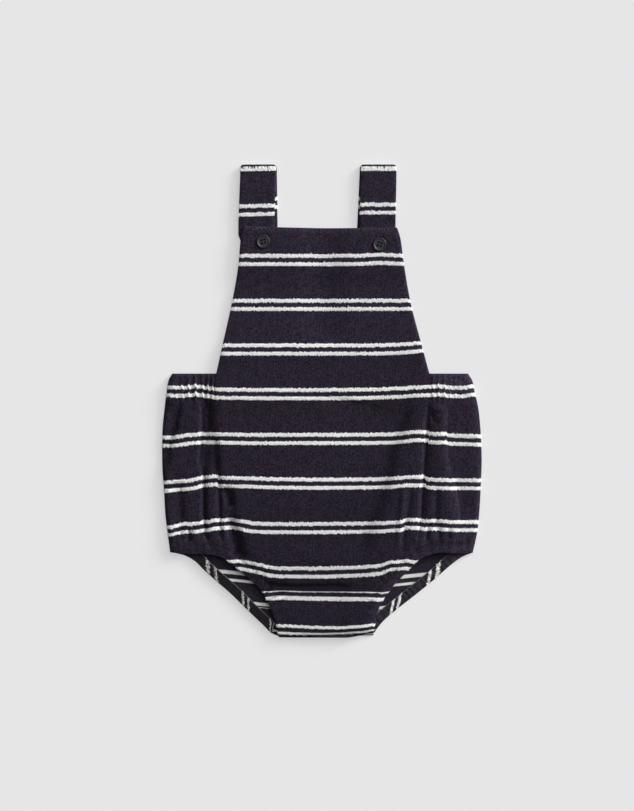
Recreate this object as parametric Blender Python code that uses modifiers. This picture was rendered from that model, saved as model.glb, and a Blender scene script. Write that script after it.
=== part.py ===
"""A baby's bib romper in striped terry knit, laid flat on its back with the shoulder straps folded over.

Sizes are in millimetres here, and become metres where a mesh is made. +X is to the right of the front, +Y is
towards the straps and +Z is up. The origin is on the surface that it lies on, below the middle of its box.
"""

import math
from collections import namedtuple

import bmesh
import bpy
from mathutils import Vector

MM = 0.001

# ---- sizes ----
# Walls
CLOTH = 1.8  # one layer of terry knit
FACED = 2.0  # the bib, pressed flat
STRAP = 2.2  # a strap is a flattened tube of the same knit
TURNED_HEM = 1.4  # a leg hem pressed flat on the back's inside
SEAM_GAP = 0.3

# Levels above the surface that the romper lies on
SEAM_LEVEL = CLOTH + SEAM_GAP  # the front's side seams meet the back here
LOWEST_FRONT = SEAM_LEVEL + CLOTH + 0.1
LOWEST_BIB = FACED + SEAM_GAP
HIGHEST_FRONT = 7.5  # the front lies less than 4 mm above the back

# The front's outline, from the waist's line down to the legs, and up the bib
Row = namedtuple("Row", "x y")
WAIST_Y = 23.5
SIDE_LEFT = [
    Row(-127.1, 23.5), Row(-130.2, 18.0), Row(-131.8, 9.4), Row(-133.9, -7.7), Row(-135.6, -27.0),
    Row(-135.6, -56.0), Row(-134.2, -76.0), Row(-133.0, -97.0), Row(-131.0, -113.0), Row(-129.0, -128.1),
]
SIDE_RIGHT = [
    Row(124.0, 23.5), Row(127.8, 17.0), Row(129.4, 9.4), Row(133.0, -7.7), Row(134.9, -29.0),
    Row(135.6, -50.0), Row(134.9, -70.0), Row(133.9, -90.0), Row(132.0, -110.0), Row(128.0, -128.6),
]
BIB_SIDE_LEFT = [
    Row(-66.0, 147.2), Row(-69.0, 137.0), Row(-71.4, 112.2), Row(-76.9, 81.6), Row(-83.7, 51.0),
    Row(-89.7, 23.5),
]
BIB_SIDE_RIGHT = [
    Row(63.6, 146.0), Row(66.7, 136.9), Row(70.1, 112.2), Row(75.7, 81.6), Row(83.7, 51.0),
    Row(91.0, 23.5),
]
FRONT_LEG_LEFT = [
    Row(-129.0, -128.1), Row(-117.0, -129.4), Row(-100.2, -129.8), Row(-89.7, -131.1), Row(-81.3, -134.6),
    Row(-69.9, -143.7), Row(-58.5, -153.5), Row(-51.7, -160.3), Row(-44.1, -174.8), Row(-38.8, -189.9),
    Row(-36.8, -200.4),
]
FRONT_LEG_RIGHT = [
    Row(128.0, -128.6), Row(117.0, -129.2), Row(102.0, -128.4), Row(92.5, -130.0), Row(81.3, -136.8),
    Row(69.2, -148.2), Row(58.6, -158.8), Row(50.9, -170.2), Row(46.0, -182.3), Row(44.2, -193.0),
    Row(43.6, -199.4),
]
BACK_LEG_LEFT = [
    Row(-129.0, -128.1), Row(-117.0, -130.7), Row(-107.9, -135.7), Row(-100.2, -143.2), Row(-89.7, -152.7),
    Row(-77.4, -163.4), Row(-62.3, -178.2), Row(-49.5, -190.4), Row(-43.5, -196.4), Row(-37.0, -199.4),
]
BACK_LEG_RIGHT = [
    Row(128.0, -128.6), Row(118.5, -132.3), Row(108.6, -139.5), Row(95.7, -150.9), Row(81.3, -162.6),
    Row(65.4, -175.1), Row(53.2, -185.4), Row(46.5, -193.2), Row(43.6, -198.8),
]
LEG_SHARE = 0.27  # share of the panels' columns that end on each leg opening

# The front's level down its middle
Level = namedtuple("Level", "y z")
MIDDLE_LEVELS = [
    Level(150.0, 7.4), Level(116.0, 7.3), Level(96.0, 5.0), Level(60.0, 4.9), Level(38.0, 6.7),
    Level(20.0, 7.0), Level(-60.0, 7.3), Level(-120.0, 7.4), Level(-146.0, 7.1), Level(-205.0, 6.8),
]
# The sides lie lower than the middle, from one distance out to another, and the bib sinks between the straps
Slump = namedtuple("Slump", "depth start end")
SIDE_SLUMP = Slump(depth=0.5, start=70.0, end=115.0)
BIB_SAG = Slump(depth=2.4, start=0.0, end=27.0)
BIB_SAG_YS = (44.0, 62.0)

# How edges round over: how far in the rounding starts, and how far it drops
SEAM_ROLL = 5.0  # down to the back, at the sides and the crotch
Edge = namedtuple("Edge", "reach drop")
BIB_EDGE = Edge(3.0, 1.5)
WAIST_EDGE = Edge(3.4, 1.5)
LEG_EDGE = Edge(2.4, 0.8)

# A fold is a trough along a path; a negative depth makes a ridge. Its two reaches are to a walker's right and
# left on the way from the path's first point to its last.
Fold = namedtuple("Fold", "path right left depth")
FOLD_END_SHARE = 0.35  # share of a fold's depth at its ends
FOLDS = [
    Fold([(-119.4, -0.9), (-120.3, -16.2), (-123.5, -37.0), (-128.8, -62.9)], 7.0, 2.1, 1.6),
    Fold([(-97.8, 2.7), (-102.9, -33.0), (-102.4, -75.5)], 1.9, 9.4, 2.6),
    Fold([(-99.0, -73.8), (-98.2, -107.8), (-96.5, -126.5)], 2.3, 3.2, 1.9),
    Fold([(-88.8, -65.3), (-87.1, -96.7), (-82.9, -128.2)], 1.6, 2.8, 1.6),
    Fold([(-81.2, -67.0), (-76.9, -96.7), (-72.7, -131.6)], 3.6, 8.6, 2.3),
    Fold([(-109.0, -4.0), (-105.6, -40.0), (-104.5, -84.0)], 6.5, 2.4, -0.5),
    Fold([(92.2, 1.0), (89.3, -33.0), (86.7, -75.5), (84.6, -109.5)], 1.7, 7.8, 2.5),
    Fold([(107.6, -0.7), (106.8, -33.0), (109.9, -63.0), (116.0, -88.0)], 3.5, 1.6, -0.6),
    Fold([(109.4, -4.0), (109.2, -33.0), (112.4, -63.0), (117.5, -86.0)], 1.6, 6.0, 1.2),
    Fold([(124.0, 0.5), (125.4, -12.0), (128.5, -24.0)], 3.2, 3.6, 1.2),
    Fold([(60.8, -16.0), (52.3, -67.0), (37.8, -126.5)], 5.6, 9.5, 1.5),
    Fold([(80.0, -33.0), (79.0, -101.0)], 6.5, 4.5, -0.5),
    Fold([(69.7, -101.0), (70.1, -135.0)], 7.2, 1.7, 2.4),
    Fold([(-58.0, -150.0), (-44.0, -156.0), (-16.0, -158.2), (12.0, -157.6), (40.0, -159.6), (57.0, -154.5)],
         3.4, 9.0, 2.9),
]

# Gathers run down from the waist's elastic and up from the legs'
Gather = namedtuple("Gather", "casing fade height")
WAIST_GATHER = Gather(casing=20.0, fade=26.0, height=0.8)
LEG_GATHER = Gather(casing=8.2, fade=22.0, height=0.5)
CASING_SHARE = 0.6  # share of the waist ridges' height that shows on the casing itself

# A gather's ridge starts at an inset from the side seam along the waist, and has a share of the full height
Ridge = namedtuple("Ridge", "inset height")
RIDGES_LEFT = [
    Ridge(8.4, 0.4), Ridge(14.0, 0.7), Ridge(20.0, 1.0),
    Ridge(26.0, 0.75), Ridge(30.5, 0.9), Ridge(34.5, 0.8),
]
RIDGES_RIGHT = [
    Ridge(6.8, 0.3), Ridge(11.0, 0.5), Ridge(15.3, 0.7),
    Ridge(20.3, 1.0), Ridge(25.4, 0.9), Ridge(29.9, 0.9),
]

# The front's grid: insets from the side seam at the waist, ridges and valleys, insets from the bib's edge
SEAM_INSETS = [0.0, 0.5, 1.8, 3.8]
BIB_INSETS = [1.2, 3.4, 8.0]
MIDDLE_GAPS = 14
BIB_ROWS = [0.0, 0.006, 0.024, 0.07, 0.16, 0.25, 0.29, 0.33, 0.37, 0.41, 0.52, 0.64, 0.72, 0.80, 0.88, 0.95]
BODY_ROWS = [
    0.0, 0.008, 0.024, 0.06, 0.10, 0.155, 0.21, 0.27, 0.33, 0.39, 0.45, 0.51, 0.57, 0.63, 0.69, 0.735,
    0.765, 0.785, 0.80, 0.812, 0.824, 0.836, 0.852, 0.88, 0.91, 0.945, 0.97, 0.985, 0.995, 1.0,
]

# The back's grid, and the low waves on its inside above the leg hems
BACK_COLUMNS, BACK_ROWS = 24, 16
BACK_WAVE = 0.35
BACK_WAVE_START, BACK_WAVE_END = (0.6, 0.85), (0.9, 0.98)  # as shares of the way down the back

# Turned leg hems
HEM_WIDTH = 8.2
HEM_SHARES = (0.055, 0.95)  # the part of the leg's edge that a turned hem covers
HEM_STATIONS = 34
HEM_RIDGE = 0.2
HEM_AHEAD = 0.01  # share of the edge over which its direction is measured
Strip = namedtuple("Strip", "across thick")
HEM_STRIPS = [Strip(0.0, 0.6), Strip(0.12, 1.0), Strip(0.88, 1.0), Strip(1.0, 0.6)]

# Straps
STRAP_WIDTH = 30.4
STRAP_TOP_Y, STRAP_FRONT_END_Y, STRAP_BACK_END_Y = 200.4, 122.0, 4.0
STRAP_CROWN = 0.5  # the front layer arches a little between the bib and the fold
CROWN_YS = (172.0, 180.0)  # it is highest between these
STRAP_PINCH = 0.06  # the fold is narrower by this share, which rounds its corners
FRONT_LAYER_Z, BACK_LAYER_Z = STRAP + SEAM_GAP + STRAP / 2, STRAP / 2
ON_BACK_Z = SEAM_LEVEL + STRAP / 2
CLIMB_LOW_Y, CLIMB_HIGH_Y = 28.5, 40.0  # here it climbs onto the back's waist
BIB_TOP_Y = 147.0
FRONT_LAYER_YS = [STRAP_FRONT_END_Y, 134.0, 146.0, 156.0, 166.0, 176.0, 186.0, 193.0]
BACK_LAYER_YS = [
    186.0, 168.0, BIB_TOP_Y, 110.0, 75.0, 50.0, CLIMB_HIGH_Y, 34.0, CLIMB_LOW_Y, 18.0, STRAP_BACK_END_Y,
]
FOLD_TURNS = 6
STRAP_STRIPS = [
    Strip(-1.0, 0.45), Strip(-0.95, 0.8), Strip(-0.8, 1.0), Strip(0.0, 1.0), Strip(0.8, 1.0),
    Strip(0.95, 0.8), Strip(1.0, 0.45),
]
# A strap's x at five places on its way
Strap = namedtuple("Strap", "name front_low front_top back_top back_bib back_low")
STRAPS = [
    Strap("strap_left", -54.6, -54.2, -53.6, -52.9, -44.0),
    Strap("strap_right", 47.2, 48.0, 47.4, 45.0, 36.0),
]

# Buttons, with half a section as shares of the radius and the thickness, from the middle of the top down
BUTTON_RADIUS, BUTTON_THICK, BUTTON_SIDES = 5.75, 2.2, 24
BUTTON_SECTION = [
    (0.0, 0.62), (0.52, 0.62), (0.66, 0.78), (0.74, 0.96), (0.84, 1.0),
    (0.95, 0.86), (1.0, 0.6), (0.97, 0.3), (0.8, 0.08), (0.6, 0.0), (0.0, 0.0),
]
BUTTON_MERGE = 0.01
THREAD_HOLE_RADIUS, THREAD_HOLE_SPACING, THREAD_HOLE_SIDES = 0.65, 2.5, 8
Button = namedtuple("Button", "name x y")
BUTTONS = [Button("button_left", -49.6, 135.5), Button("button_right", 49.4, 133.2)]

# Materials
Finish = namedtuple("Finish", "name colour roughness")
KNIT = Finish("navy_terry_knit", (0.021, 0.018, 0.027, 1.0), 0.95)
PLASTIC = Finish("navy_button_plastic", (0.042, 0.042, 0.051, 1.0), 0.38)


# ---- curves and blends ----
def smooth(low, high, value):
    """0 below low, 1 above high, and a soft step between."""
    share = min(1.0, max(0.0, (value - low) / (high - low)))
    return share * share * (3.0 - 2.0 * share)


def mix(a, b, share):
    return a + (b - a) * share


class Line:
    """A smooth curve through rows of an outline, which gives the point at a share of its length."""

    STEPS = 12

    def __init__(self, rows):
        ends = [rows[0], *rows, rows[-1]]
        self.points = [
            tuple(self.between(*coordinates, step / self.STEPS) for coordinates in zip(*four))
            for four in zip(ends, ends[1:], ends[2:], ends[3:])
            for step in range(self.STEPS)
        ]
        self.points.append(tuple(rows[-1]))
        self.lengths = [0.0]
        for a, b in zip(self.points, self.points[1:]):
            self.lengths.append(self.lengths[-1] + math.dist(a, b))

    @staticmethod
    def between(p, q, r, s, t):
        """One coordinate at share t of the way from q to r, with p and s on either side of them."""
        cubic = 3 * q - p - 3 * r + s
        square = 2 * p - 5 * q + 4 * r - s
        return 0.5 * (2 * q + (r - p) * t + square * t**2 + cubic * t**3)

    def at(self, share):
        want = min(1.0, max(0.0, share)) * self.lengths[-1]
        for n, (low, high) in enumerate(zip(self.lengths, self.lengths[1:])):
            if want <= high:
                part = (want - low) / (high - low)
                return tuple(mix(p, q, part) for p, q in zip(self.points[n], self.points[n + 1]))
        return self.points[-1]

    def distance(self, x, y):
        """How far (x, y) lies from the curve."""
        nearest = math.inf
        for (ax, ay), (bx, by) in zip(self.points, self.points[1:]):
            dx, dy = bx - ax, by - ay
            held = min(1.0, max(0.0, ((x - ax) * dx + (y - ay) * dy) / (dx * dx + dy * dy)))
            nearest = min(nearest, math.hypot(x - ax - dx * held, y - ay - dy * held))
        return nearest


SIDES = Line(SIDE_LEFT), Line(SIDE_RIGHT)
BIB_SIDES = Line(BIB_SIDE_LEFT), Line(BIB_SIDE_RIGHT)
FRONT_LEGS = Line(FRONT_LEG_LEFT), Line(FRONT_LEG_RIGHT)
BACK_LEGS = Line(BACK_LEG_LEFT), Line(BACK_LEG_RIGHT)
CROTCH = Line([FRONT_LEG_LEFT[-1], FRONT_LEG_RIGHT[-1]])


def rounding(inset, reach):
    """How high a quarter turn stands, as a share, at an inset from the edge that it starts from."""
    turned = min(1.0, max(0.0, inset / reach))
    return math.sin(math.acos(1.0 - turned))


# ---- the two panels' plan ----
def waist_point(across):
    return mix(SIDE_LEFT[0].x, SIDE_RIGHT[0].x, across), WAIST_Y


def hem_point(legs, across):
    """A point of the lower edge: one leg opening, the crotch, then the other leg opening."""
    if across <= LEG_SHARE:
        return legs[0].at(across / LEG_SHARE)
    if across >= 1.0 - LEG_SHARE:
        return legs[1].at((1.0 - across) / LEG_SHARE)
    share = (across - LEG_SHARE) / (1.0 - 2.0 * LEG_SHARE)
    return tuple(mix(a, b, share) for a, b in zip(legs[0].points[-1], legs[1].points[-1]))


def body_plan(legs, across, down):
    """(x, y) inside the body's four edges; across and down are shares from the left end of the waist."""
    top, bottom = waist_point(across), hem_point(legs, across)
    left, right = SIDES[0].at(down), SIDES[1].at(down)
    corners = waist_point(0.0), waist_point(1.0), hem_point(legs, 0.0), hem_point(legs, 1.0)
    plan = []
    for t, b, l, r, tl, tr, bl, br in zip(top, bottom, left, right, *corners):
        plan.append(mix(t, b, down) + mix(l, r, across) - mix(mix(tl, tr, across), mix(bl, br, across), down))
    return plan


def bib_plan(across, down):
    """(x, y) on the bib; across runs between its two sides."""
    left, right = (side.at(down) for side in BIB_SIDES)
    return [mix(a, b, across) for a, b in zip(left, right)]


def wing_columns(ridges, wing):
    """(inset, height) of each column from a side seam to just past the bib's edge. Valleys are below 0."""
    columns = [(inset, 0.0) for inset in SEAM_INSETS]
    for ridge, after in zip(ridges, [*ridges[1:], Ridge(wing, 0.0)]):
        before = columns[-1]
        if not before[1]:
            columns.append((mix(before[0], ridge.inset, 0.5), -ridge.height))
        columns.append((ridge.inset, ridge.height))
        columns.append((mix(ridge.inset, after.inset, 0.5), -mix(ridge.height, after.height, 0.5)))
    return [*columns, (wing, 0.0), *((wing + inset, 0.0) for inset in BIB_INSETS)]


def front_columns():
    """Columns across the waist: close in the gathers and beside the bib's edges, wide in the middle."""
    waist = SIDE_RIGHT[0].x - SIDE_LEFT[0].x
    left = wing_columns(RIDGES_LEFT, BIB_SIDE_LEFT[-1].x - SIDE_LEFT[0].x)
    right = wing_columns(RIDGES_RIGHT, SIDE_RIGHT[0].x - BIB_SIDE_RIGHT[-1].x)
    first, last = left[-1][0], waist - right[-1][0]
    middle = [(mix(first, last, (n + 1) / MIDDLE_GAPS), 0.0) for n in range(MIDDLE_GAPS - 1)]
    right = [(waist - inset, height) for inset, height in reversed(right)]
    return [Column(x / waist, height) for x, height in (*left, *middle, *right)]


Column = namedtuple("Column", "across ridge")
COLUMNS = front_columns()
FIRST_BIB_COLUMN = len(SEAM_INSETS) + 2 * len(RIDGES_LEFT) + 1
LAST_BIB_COLUMN = len(COLUMNS) - 1 - FIRST_BIB_COLUMN


# ---- the front's relief ----
def middle_level(y):
    for above, below in zip(MIDDLE_LEVELS, MIDDLE_LEVELS[1:]):
        if y >= below.y:
            return mix(below.z, above.z, smooth(below.y, above.y, y))
    return MIDDLE_LEVELS[-1].z


def fold_drop(fold, x, y):
    """How far one fold lowers the cloth at (x, y). It is shallow at its ends."""
    lengths = [math.dist(a, b) for a, b in zip(fold.path, fold.path[1:])]
    nearest, passed = (math.inf, 0.0, 0.0), 0.0
    for (ax, ay), (bx, by), length in zip(fold.path, fold.path[1:], lengths):
        along = ((x - ax) * (bx - ax) + (y - ay) * (by - ay)) / length
        to_right = ((x - ax) * (by - ay) - (y - ay) * (bx - ax)) / length
        held = min(length, max(0.0, along))
        nearest = min(nearest, (math.hypot(to_right, along - held), to_right, (passed + held) / sum(lengths)))
        passed += length
    away, to_right, share = nearest
    reach = fold.right if to_right > 0 else fold.left
    return fold.depth * math.exp(-((away / reach) ** 2)) * mix(FOLD_END_SHARE, 1.0, math.sin(math.pi * share))


def front_level(x, y):
    """The outer face's level, away from the edges."""
    level = middle_level(y) - SIDE_SLUMP.depth * smooth(SIDE_SLUMP.start, SIDE_SLUMP.end, abs(x))
    level -= BIB_SAG.depth * (1.0 - smooth(BIB_SAG.start, BIB_SAG.end, abs(x))) * smooth(*BIB_SAG_YS, y)
    level -= sum(fold_drop(fold, x, y) for fold in FOLDS)
    lowest = mix(LOWEST_FRONT, LOWEST_BIB, smooth(*BIB_SAG_YS, y))
    return min(HIGHEST_FRONT, max(lowest, level))


def gather_height(below_waist, to_leg):
    """How high a full ridge stands: highest where a casing is stitched."""
    waist, leg = WAIST_GATHER, LEG_GATHER
    rise = mix(CASING_SHARE, 1.0, smooth(0.0, waist.casing, below_waist))
    at_waist = waist.height * rise * (1.0 - smooth(waist.casing, waist.casing + waist.fade, below_waist))
    rise = smooth(0.0, leg.casing, to_leg)
    at_leg = leg.height * rise * (1.0 - smooth(leg.casing, leg.casing + leg.fade, to_leg))
    return at_waist + at_leg


def bib_point(column, row, outer):
    """A point of the bib's outer or inner face."""
    first, last = COLUMNS[FIRST_BIB_COLUMN].across, COLUMNS[LAST_BIB_COLUMN].across
    across = (COLUMNS[column].across - first) / (last - first)
    x, y = bib_plan(across, BIB_ROWS[row])
    to_edge = min(min(side.distance(x, y) for side in BIB_SIDES), bib_plan(across, 0.0)[1] - y)
    level = front_level(x, y)
    if not outer:
        return x, y, level - FACED
    return x, y, level - BIB_EDGE.drop * (1.0 - rounding(to_edge, BIB_EDGE.reach))


def body_point(column, row, outer):
    """A point of the outer or inner face of the front below the waist."""
    across, ridge = COLUMNS[column]
    x, y = body_plan(FRONT_LEGS, across, BODY_ROWS[row])
    hand = 0 if across < 0.5 else 1
    to_side, to_crotch, to_leg = (line.distance(x, y) for line in (SIDES[hand], CROTCH, FRONT_LEGS[hand]))
    beside_bib = FIRST_BIB_COLUMN - min(column, len(COLUMNS) - 1 - column)
    beside = smooth(0.0, 2.0, beside_bib) * (1.0 - rounding(WAIST_Y - y, WAIST_EDGE.reach))
    side, crotch = rounding(to_side, SEAM_ROLL), rounding(to_crotch, SEAM_ROLL)
    level = front_level(x, y)
    if outer:
        level += ridge * gather_height(WAIST_Y - y, to_leg)
        level -= WAIST_EDGE.drop * beside + LEG_EDGE.drop * (1.0 - rounding(to_leg, LEG_EDGE.reach))
        return x, y, mix(SEAM_LEVEL, level, side * crotch)
    inward = CLOTH * (1.0 if hand == 0 else -1.0)
    x += inward * max(0.0, 1.0 - to_side / SEAM_ROLL)
    y += CLOTH * max(0.0, 1.0 - to_crotch / SEAM_ROLL)
    return x, y, mix(SEAM_LEVEL, level - CLOTH, side * crotch)


def front_point(column, row, outer):
    """A point of the front. Rows count from the bib's top to the crotch."""
    if row < len(BIB_ROWS):
        return bib_point(column, row, outer)
    return body_point(column, row - len(BIB_ROWS), outer)


# ---- walls ----
def dressed(name, mesh, finish):
    """Makes the mesh an object of the romper, with its material."""
    material = bpy.data.materials.get(finish.name)
    if material is None:
        material = bpy.data.materials.new(finish.name)
        material.use_nodes = True
        shader = material.node_tree.nodes["Principled BSDF"]
        shader.inputs["Base Color"].default_value = finish.colour
        shader.inputs["Roughness"].default_value = finish.roughness
    mesh.materials.append(material)
    piece = bpy.data.objects.new(name, mesh)
    romper.objects.link(piece)
    return piece


def wall(name, columns, rows, point, kept=lambda column, row: True):
    """A closed wall of cloth: a doubled grid, with its points where point(column, row, outer) says."""
    def in_grid(v):
        return round((v.co.x + 0.5) * columns), round((0.5 - v.co.y) * rows)

    bm = bmesh.new()
    bmesh.ops.create_grid(bm, x_segments=columns, y_segments=rows, size=0.5)
    cells = {face: [min(place) for place in zip(*(in_grid(v) for v in face.verts))] for face in bm.faces}
    bmesh.ops.delete(bm, geom=[face for face, cell in cells.items() if not kept(*cell)], context="FACES")
    inner = list(bm.verts)
    doubled = bmesh.ops.extrude_face_region(bm, geom=bm.faces[:], use_keep_orig=True)
    outer = [v for v in doubled["geom"] if isinstance(v, bmesh.types.BMVert)]
    for face_verts, is_outer in ((inner, False), (outer, True)):
        for v in face_verts:
            v.co = Vector(point(*in_grid(v), is_outer)) * MM
    bmesh.ops.recalc_face_normals(bm, faces=bm.faces[:])
    if bm.calc_volume(signed=True) < 0.0:
        bmesh.ops.reverse_faces(bm, faces=bm.faces[:])
    mesh = bpy.data.meshes.new(name)
    bm.to_mesh(mesh)
    bm.free()
    return dressed(name, mesh, KNIT)


def add_front():
    def kept(column, row):
        return row >= len(BIB_ROWS) or FIRST_BIB_COLUMN <= column < LAST_BIB_COLUMN

    wall("front_panel", len(COLUMNS) - 1, len(BIB_ROWS) + len(BODY_ROWS) - 1, front_point, kept)


def add_back():
    """The back, flat underneath."""
    def point(column, row, outer):
        down = row / BACK_ROWS
        x, y = body_plan(BACK_LEGS, column / BACK_COLUMNS, down)
        here = smooth(*BACK_WAVE_START, down) * (1.0 - smooth(*BACK_WAVE_END, down))
        wave = BACK_WAVE * (column % 2) * here
        return x, y, CLOTH - wave if outer else 0.0

    wall("back_panel", BACK_COLUMNS, BACK_ROWS, point)


def add_turned_hem(name, leg, inward):
    """The back's leg hem, turned inside; inward is 1 or -1, for the side of the leg's edge it lies on."""
    def point(column, row, outer):
        share = mix(*HEM_SHARES, row / HEM_STATIONS)
        (x, y), (ahead_x, ahead_y) = leg.at(share), leg.at(share + HEM_AHEAD)
        length = math.hypot(ahead_x - x, ahead_y - y)
        strip = HEM_STRIPS[column]
        reach = inward * HEM_WIDTH * strip.across / length
        ridge = HEM_RIDGE * (1.0 if row % 2 else -1.0) * (strip.thick == 1.0)
        z = SEAM_LEVEL + TURNED_HEM * strip.thick + ridge if outer else SEAM_LEVEL
        return x + (y - ahead_y) * reach, y + (ahead_x - x) * reach, z

    wall(name, len(HEM_STRIPS) - 1, HEM_STATIONS, point)


# ---- straps ----
def strap_line(strap):
    """Stations (x, y, z, width as a share) down the middle of a strap, from its front end to its back end."""
    radius = (FRONT_LAYER_Z - BACK_LAYER_Z) / 2.0
    turn_y = STRAP_TOP_Y - radius - STRAP / 2.0
    line = []
    for y in FRONT_LAYER_YS:
        crown = STRAP_CROWN * smooth(BIB_TOP_Y, CROWN_YS[0], y) * (1.0 - smooth(CROWN_YS[1], turn_y, y))
        x = mix(strap.front_low, strap.front_top, smooth(BIB_TOP_Y, turn_y, y))
        line.append((x, y, FRONT_LAYER_Z + crown, 1.0))
    for turn in range(FOLD_TURNS + 1):
        angle = math.pi * turn / FOLD_TURNS
        x = mix(strap.front_top, strap.back_top, turn / FOLD_TURNS)
        y = turn_y + radius * math.sin(angle)
        z = BACK_LAYER_Z + radius * (1.0 + math.cos(angle))
        line.append((x, y, z, 1.0 - STRAP_PINCH * math.sin(angle)))
    for y in BACK_LAYER_YS:
        if y > BIB_TOP_Y:
            x = mix(strap.back_bib, strap.back_top, (y - BIB_TOP_Y) / (turn_y - BIB_TOP_Y))
        else:
            x = mix(strap.back_low, strap.back_bib, (y - STRAP_BACK_END_Y) / (BIB_TOP_Y - STRAP_BACK_END_Y))
        line.append((x, y, mix(ON_BACK_Z, BACK_LAYER_Z, smooth(CLIMB_LOW_Y, CLIMB_HIGH_Y, y)), 1.0))
    return line


def add_strap(strap):
    line = strap_line(strap)

    def point(column, row, outer):
        x, y, z, width = line[row]
        _, before_y, before_z, _ = line[max(row - 1, 0)]
        _, after_y, after_z, _ = line[min(row + 1, len(line) - 1)]
        length = math.hypot(after_y - before_y, after_z - before_z)
        strip = STRAP_STRIPS[column]
        half = STRAP / 2.0 * strip.thick * (1.0 if outer else -1.0) / length
        x += strip.across * width * STRAP_WIDTH / 2.0
        return x, y - (after_z - before_z) * half, z + (after_y - before_y) * half

    wall(strap.name, len(STRAP_STRIPS) - 1, len(line) - 1, point)


# ---- buttons ----
def add_thread_hole(name, x, y, z):
    """A cutter for one of a button's holes."""
    bpy.ops.mesh.primitive_cylinder_add(
        vertices=THREAD_HOLE_SIDES, radius=THREAD_HOLE_RADIUS * MM, depth=4.0 * BUTTON_THICK * MM,
        location=Vector((x, y, z)) * MM,
    )
    hole = bpy.context.object
    hole.name = name
    hole.hide_render = True
    hole.display_type = "WIRE"
    for collection in list(hole.users_collection):
        collection.objects.unlink(hole)
    cutters.objects.link(hole)
    return hole


def add_button(button):
    """A turned four-hole button lying on the bib."""
    base = front_level(button.x, button.y) + SEAM_GAP
    mesh = bpy.data.meshes.new(button.name)
    section = [Vector((r * BUTTON_RADIUS, 0.0, z * BUTTON_THICK)) * MM for r, z in BUTTON_SECTION]
    mesh.from_pydata(section, [(n, n + 1) for n in range(len(section) - 1)], [])
    piece = dressed(button.name, mesh, PLASTIC)
    piece.location = Vector((button.x, button.y, base)) * MM
    spin = piece.modifiers.new("Turn", "SCREW")
    spin.steps = spin.render_steps = BUTTON_SIDES
    spin.use_merge_vertices = True
    spin.merge_threshold = BUTTON_MERGE * MM
    for n in range(4):
        angle = math.pi / 4.0 + n * math.pi / 2.0
        reach = THREAD_HOLE_SPACING / math.sqrt(2.0)
        x, y = button.x + reach * math.cos(angle), button.y + reach * math.sin(angle)
        cut = piece.modifiers.new(f"Thread hole {n}", "BOOLEAN")
        cut.operation = "DIFFERENCE"
        cut.object = add_thread_hole(f"{button.name}_hole_{n}", x, y, base)


# ---- the romper ----
for old in list(bpy.data.objects):
    bpy.data.objects.remove(old)
romper = bpy.data.collections.new("romper")
cutters = bpy.data.collections.new("cutters")
bpy.context.scene.collection.children.link(romper)
bpy.context.scene.collection.children.link(cutters)

add_front()
add_back()
add_turned_hem("leg_casing_left", BACK_LEGS[0], 1)
add_turned_hem("leg_casing_right", BACK_LEGS[1], -1)
for strap in STRAPS:
    add_strap(strap)
for button in BUTTONS:
    add_button(button)
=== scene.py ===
"""Looks of a baby's bib romper in striped terry knit, laid flat with its shoulder straps folded over.

Sizes are in millimetres here, and become metres where a mesh is made. The panels' outlines and levels follow
those of the solids, at a finer step and with more folds. +X is to the right of the front, +Y is towards the
straps and +Z is up.
"""

from __future__ import annotations

import logging
import math
from dataclasses import dataclass, replace
from enum import Enum
from typing import Any, NamedTuple

import bpy
import numpy as np
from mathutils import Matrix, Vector


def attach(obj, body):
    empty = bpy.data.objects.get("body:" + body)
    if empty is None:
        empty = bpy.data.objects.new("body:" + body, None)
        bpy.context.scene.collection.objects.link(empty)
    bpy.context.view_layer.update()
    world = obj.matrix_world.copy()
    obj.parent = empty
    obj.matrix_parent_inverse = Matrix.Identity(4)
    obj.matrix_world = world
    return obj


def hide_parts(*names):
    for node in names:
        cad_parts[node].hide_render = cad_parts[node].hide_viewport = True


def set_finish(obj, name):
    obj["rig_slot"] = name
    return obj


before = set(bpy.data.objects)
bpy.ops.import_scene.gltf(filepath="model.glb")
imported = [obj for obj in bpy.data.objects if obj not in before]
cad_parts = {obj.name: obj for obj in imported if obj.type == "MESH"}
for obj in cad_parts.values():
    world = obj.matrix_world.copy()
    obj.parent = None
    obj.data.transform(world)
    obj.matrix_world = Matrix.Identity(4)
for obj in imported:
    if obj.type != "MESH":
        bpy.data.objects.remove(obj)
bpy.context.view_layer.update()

LOG = logging.getLogger("romper")
MM = 0.001
ROOT = "root"
Array = np.ndarray
Pair = tuple[float, float]
Pairs = tuple[Pair, ...]
Tree = bpy.types.NodeTree
Socket = bpy.types.NodeSocket
Piece = bpy.types.Object


# ---- curves and blends ----
class Row(NamedTuple):
    """A point of an outline."""

    x: float
    y: float


def smooth(low: float, high: float, value: Array | float) -> Array:
    """0 below low, 1 above high, and a soft step between."""
    share = np.clip((np.asarray(value) - low) / (high - low), 0.0, 1.0)
    return share * share * (3.0 - 2.0 * share)


def mix(a: Any, b: Any, share: Any) -> Any:
    """The value at a share of the way from a to b."""
    return a + (b - a) * share


def rounding(inset: Array, reach: float) -> Array:
    """How high a quarter turn stands, as a share, at an inset from the edge that it starts from."""
    turned = np.clip(inset / reach, 0.0, 1.0)
    return np.sqrt(1.0 - (1.0 - turned) ** 2)


def graded(start: float, end: float, count: int, power: float = 1.0) -> Array:
    """Places from start to just before end, closer together near start for a power above 1.

    Args:
        start: The first place.
        end: Where the next stretch starts.
        count: How many places.
        power: 1 for even steps, more for steps that grow from start.

    Returns:
        The places, in order.
    """
    return mix(start, end, (np.arange(count) / count) ** power)


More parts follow.
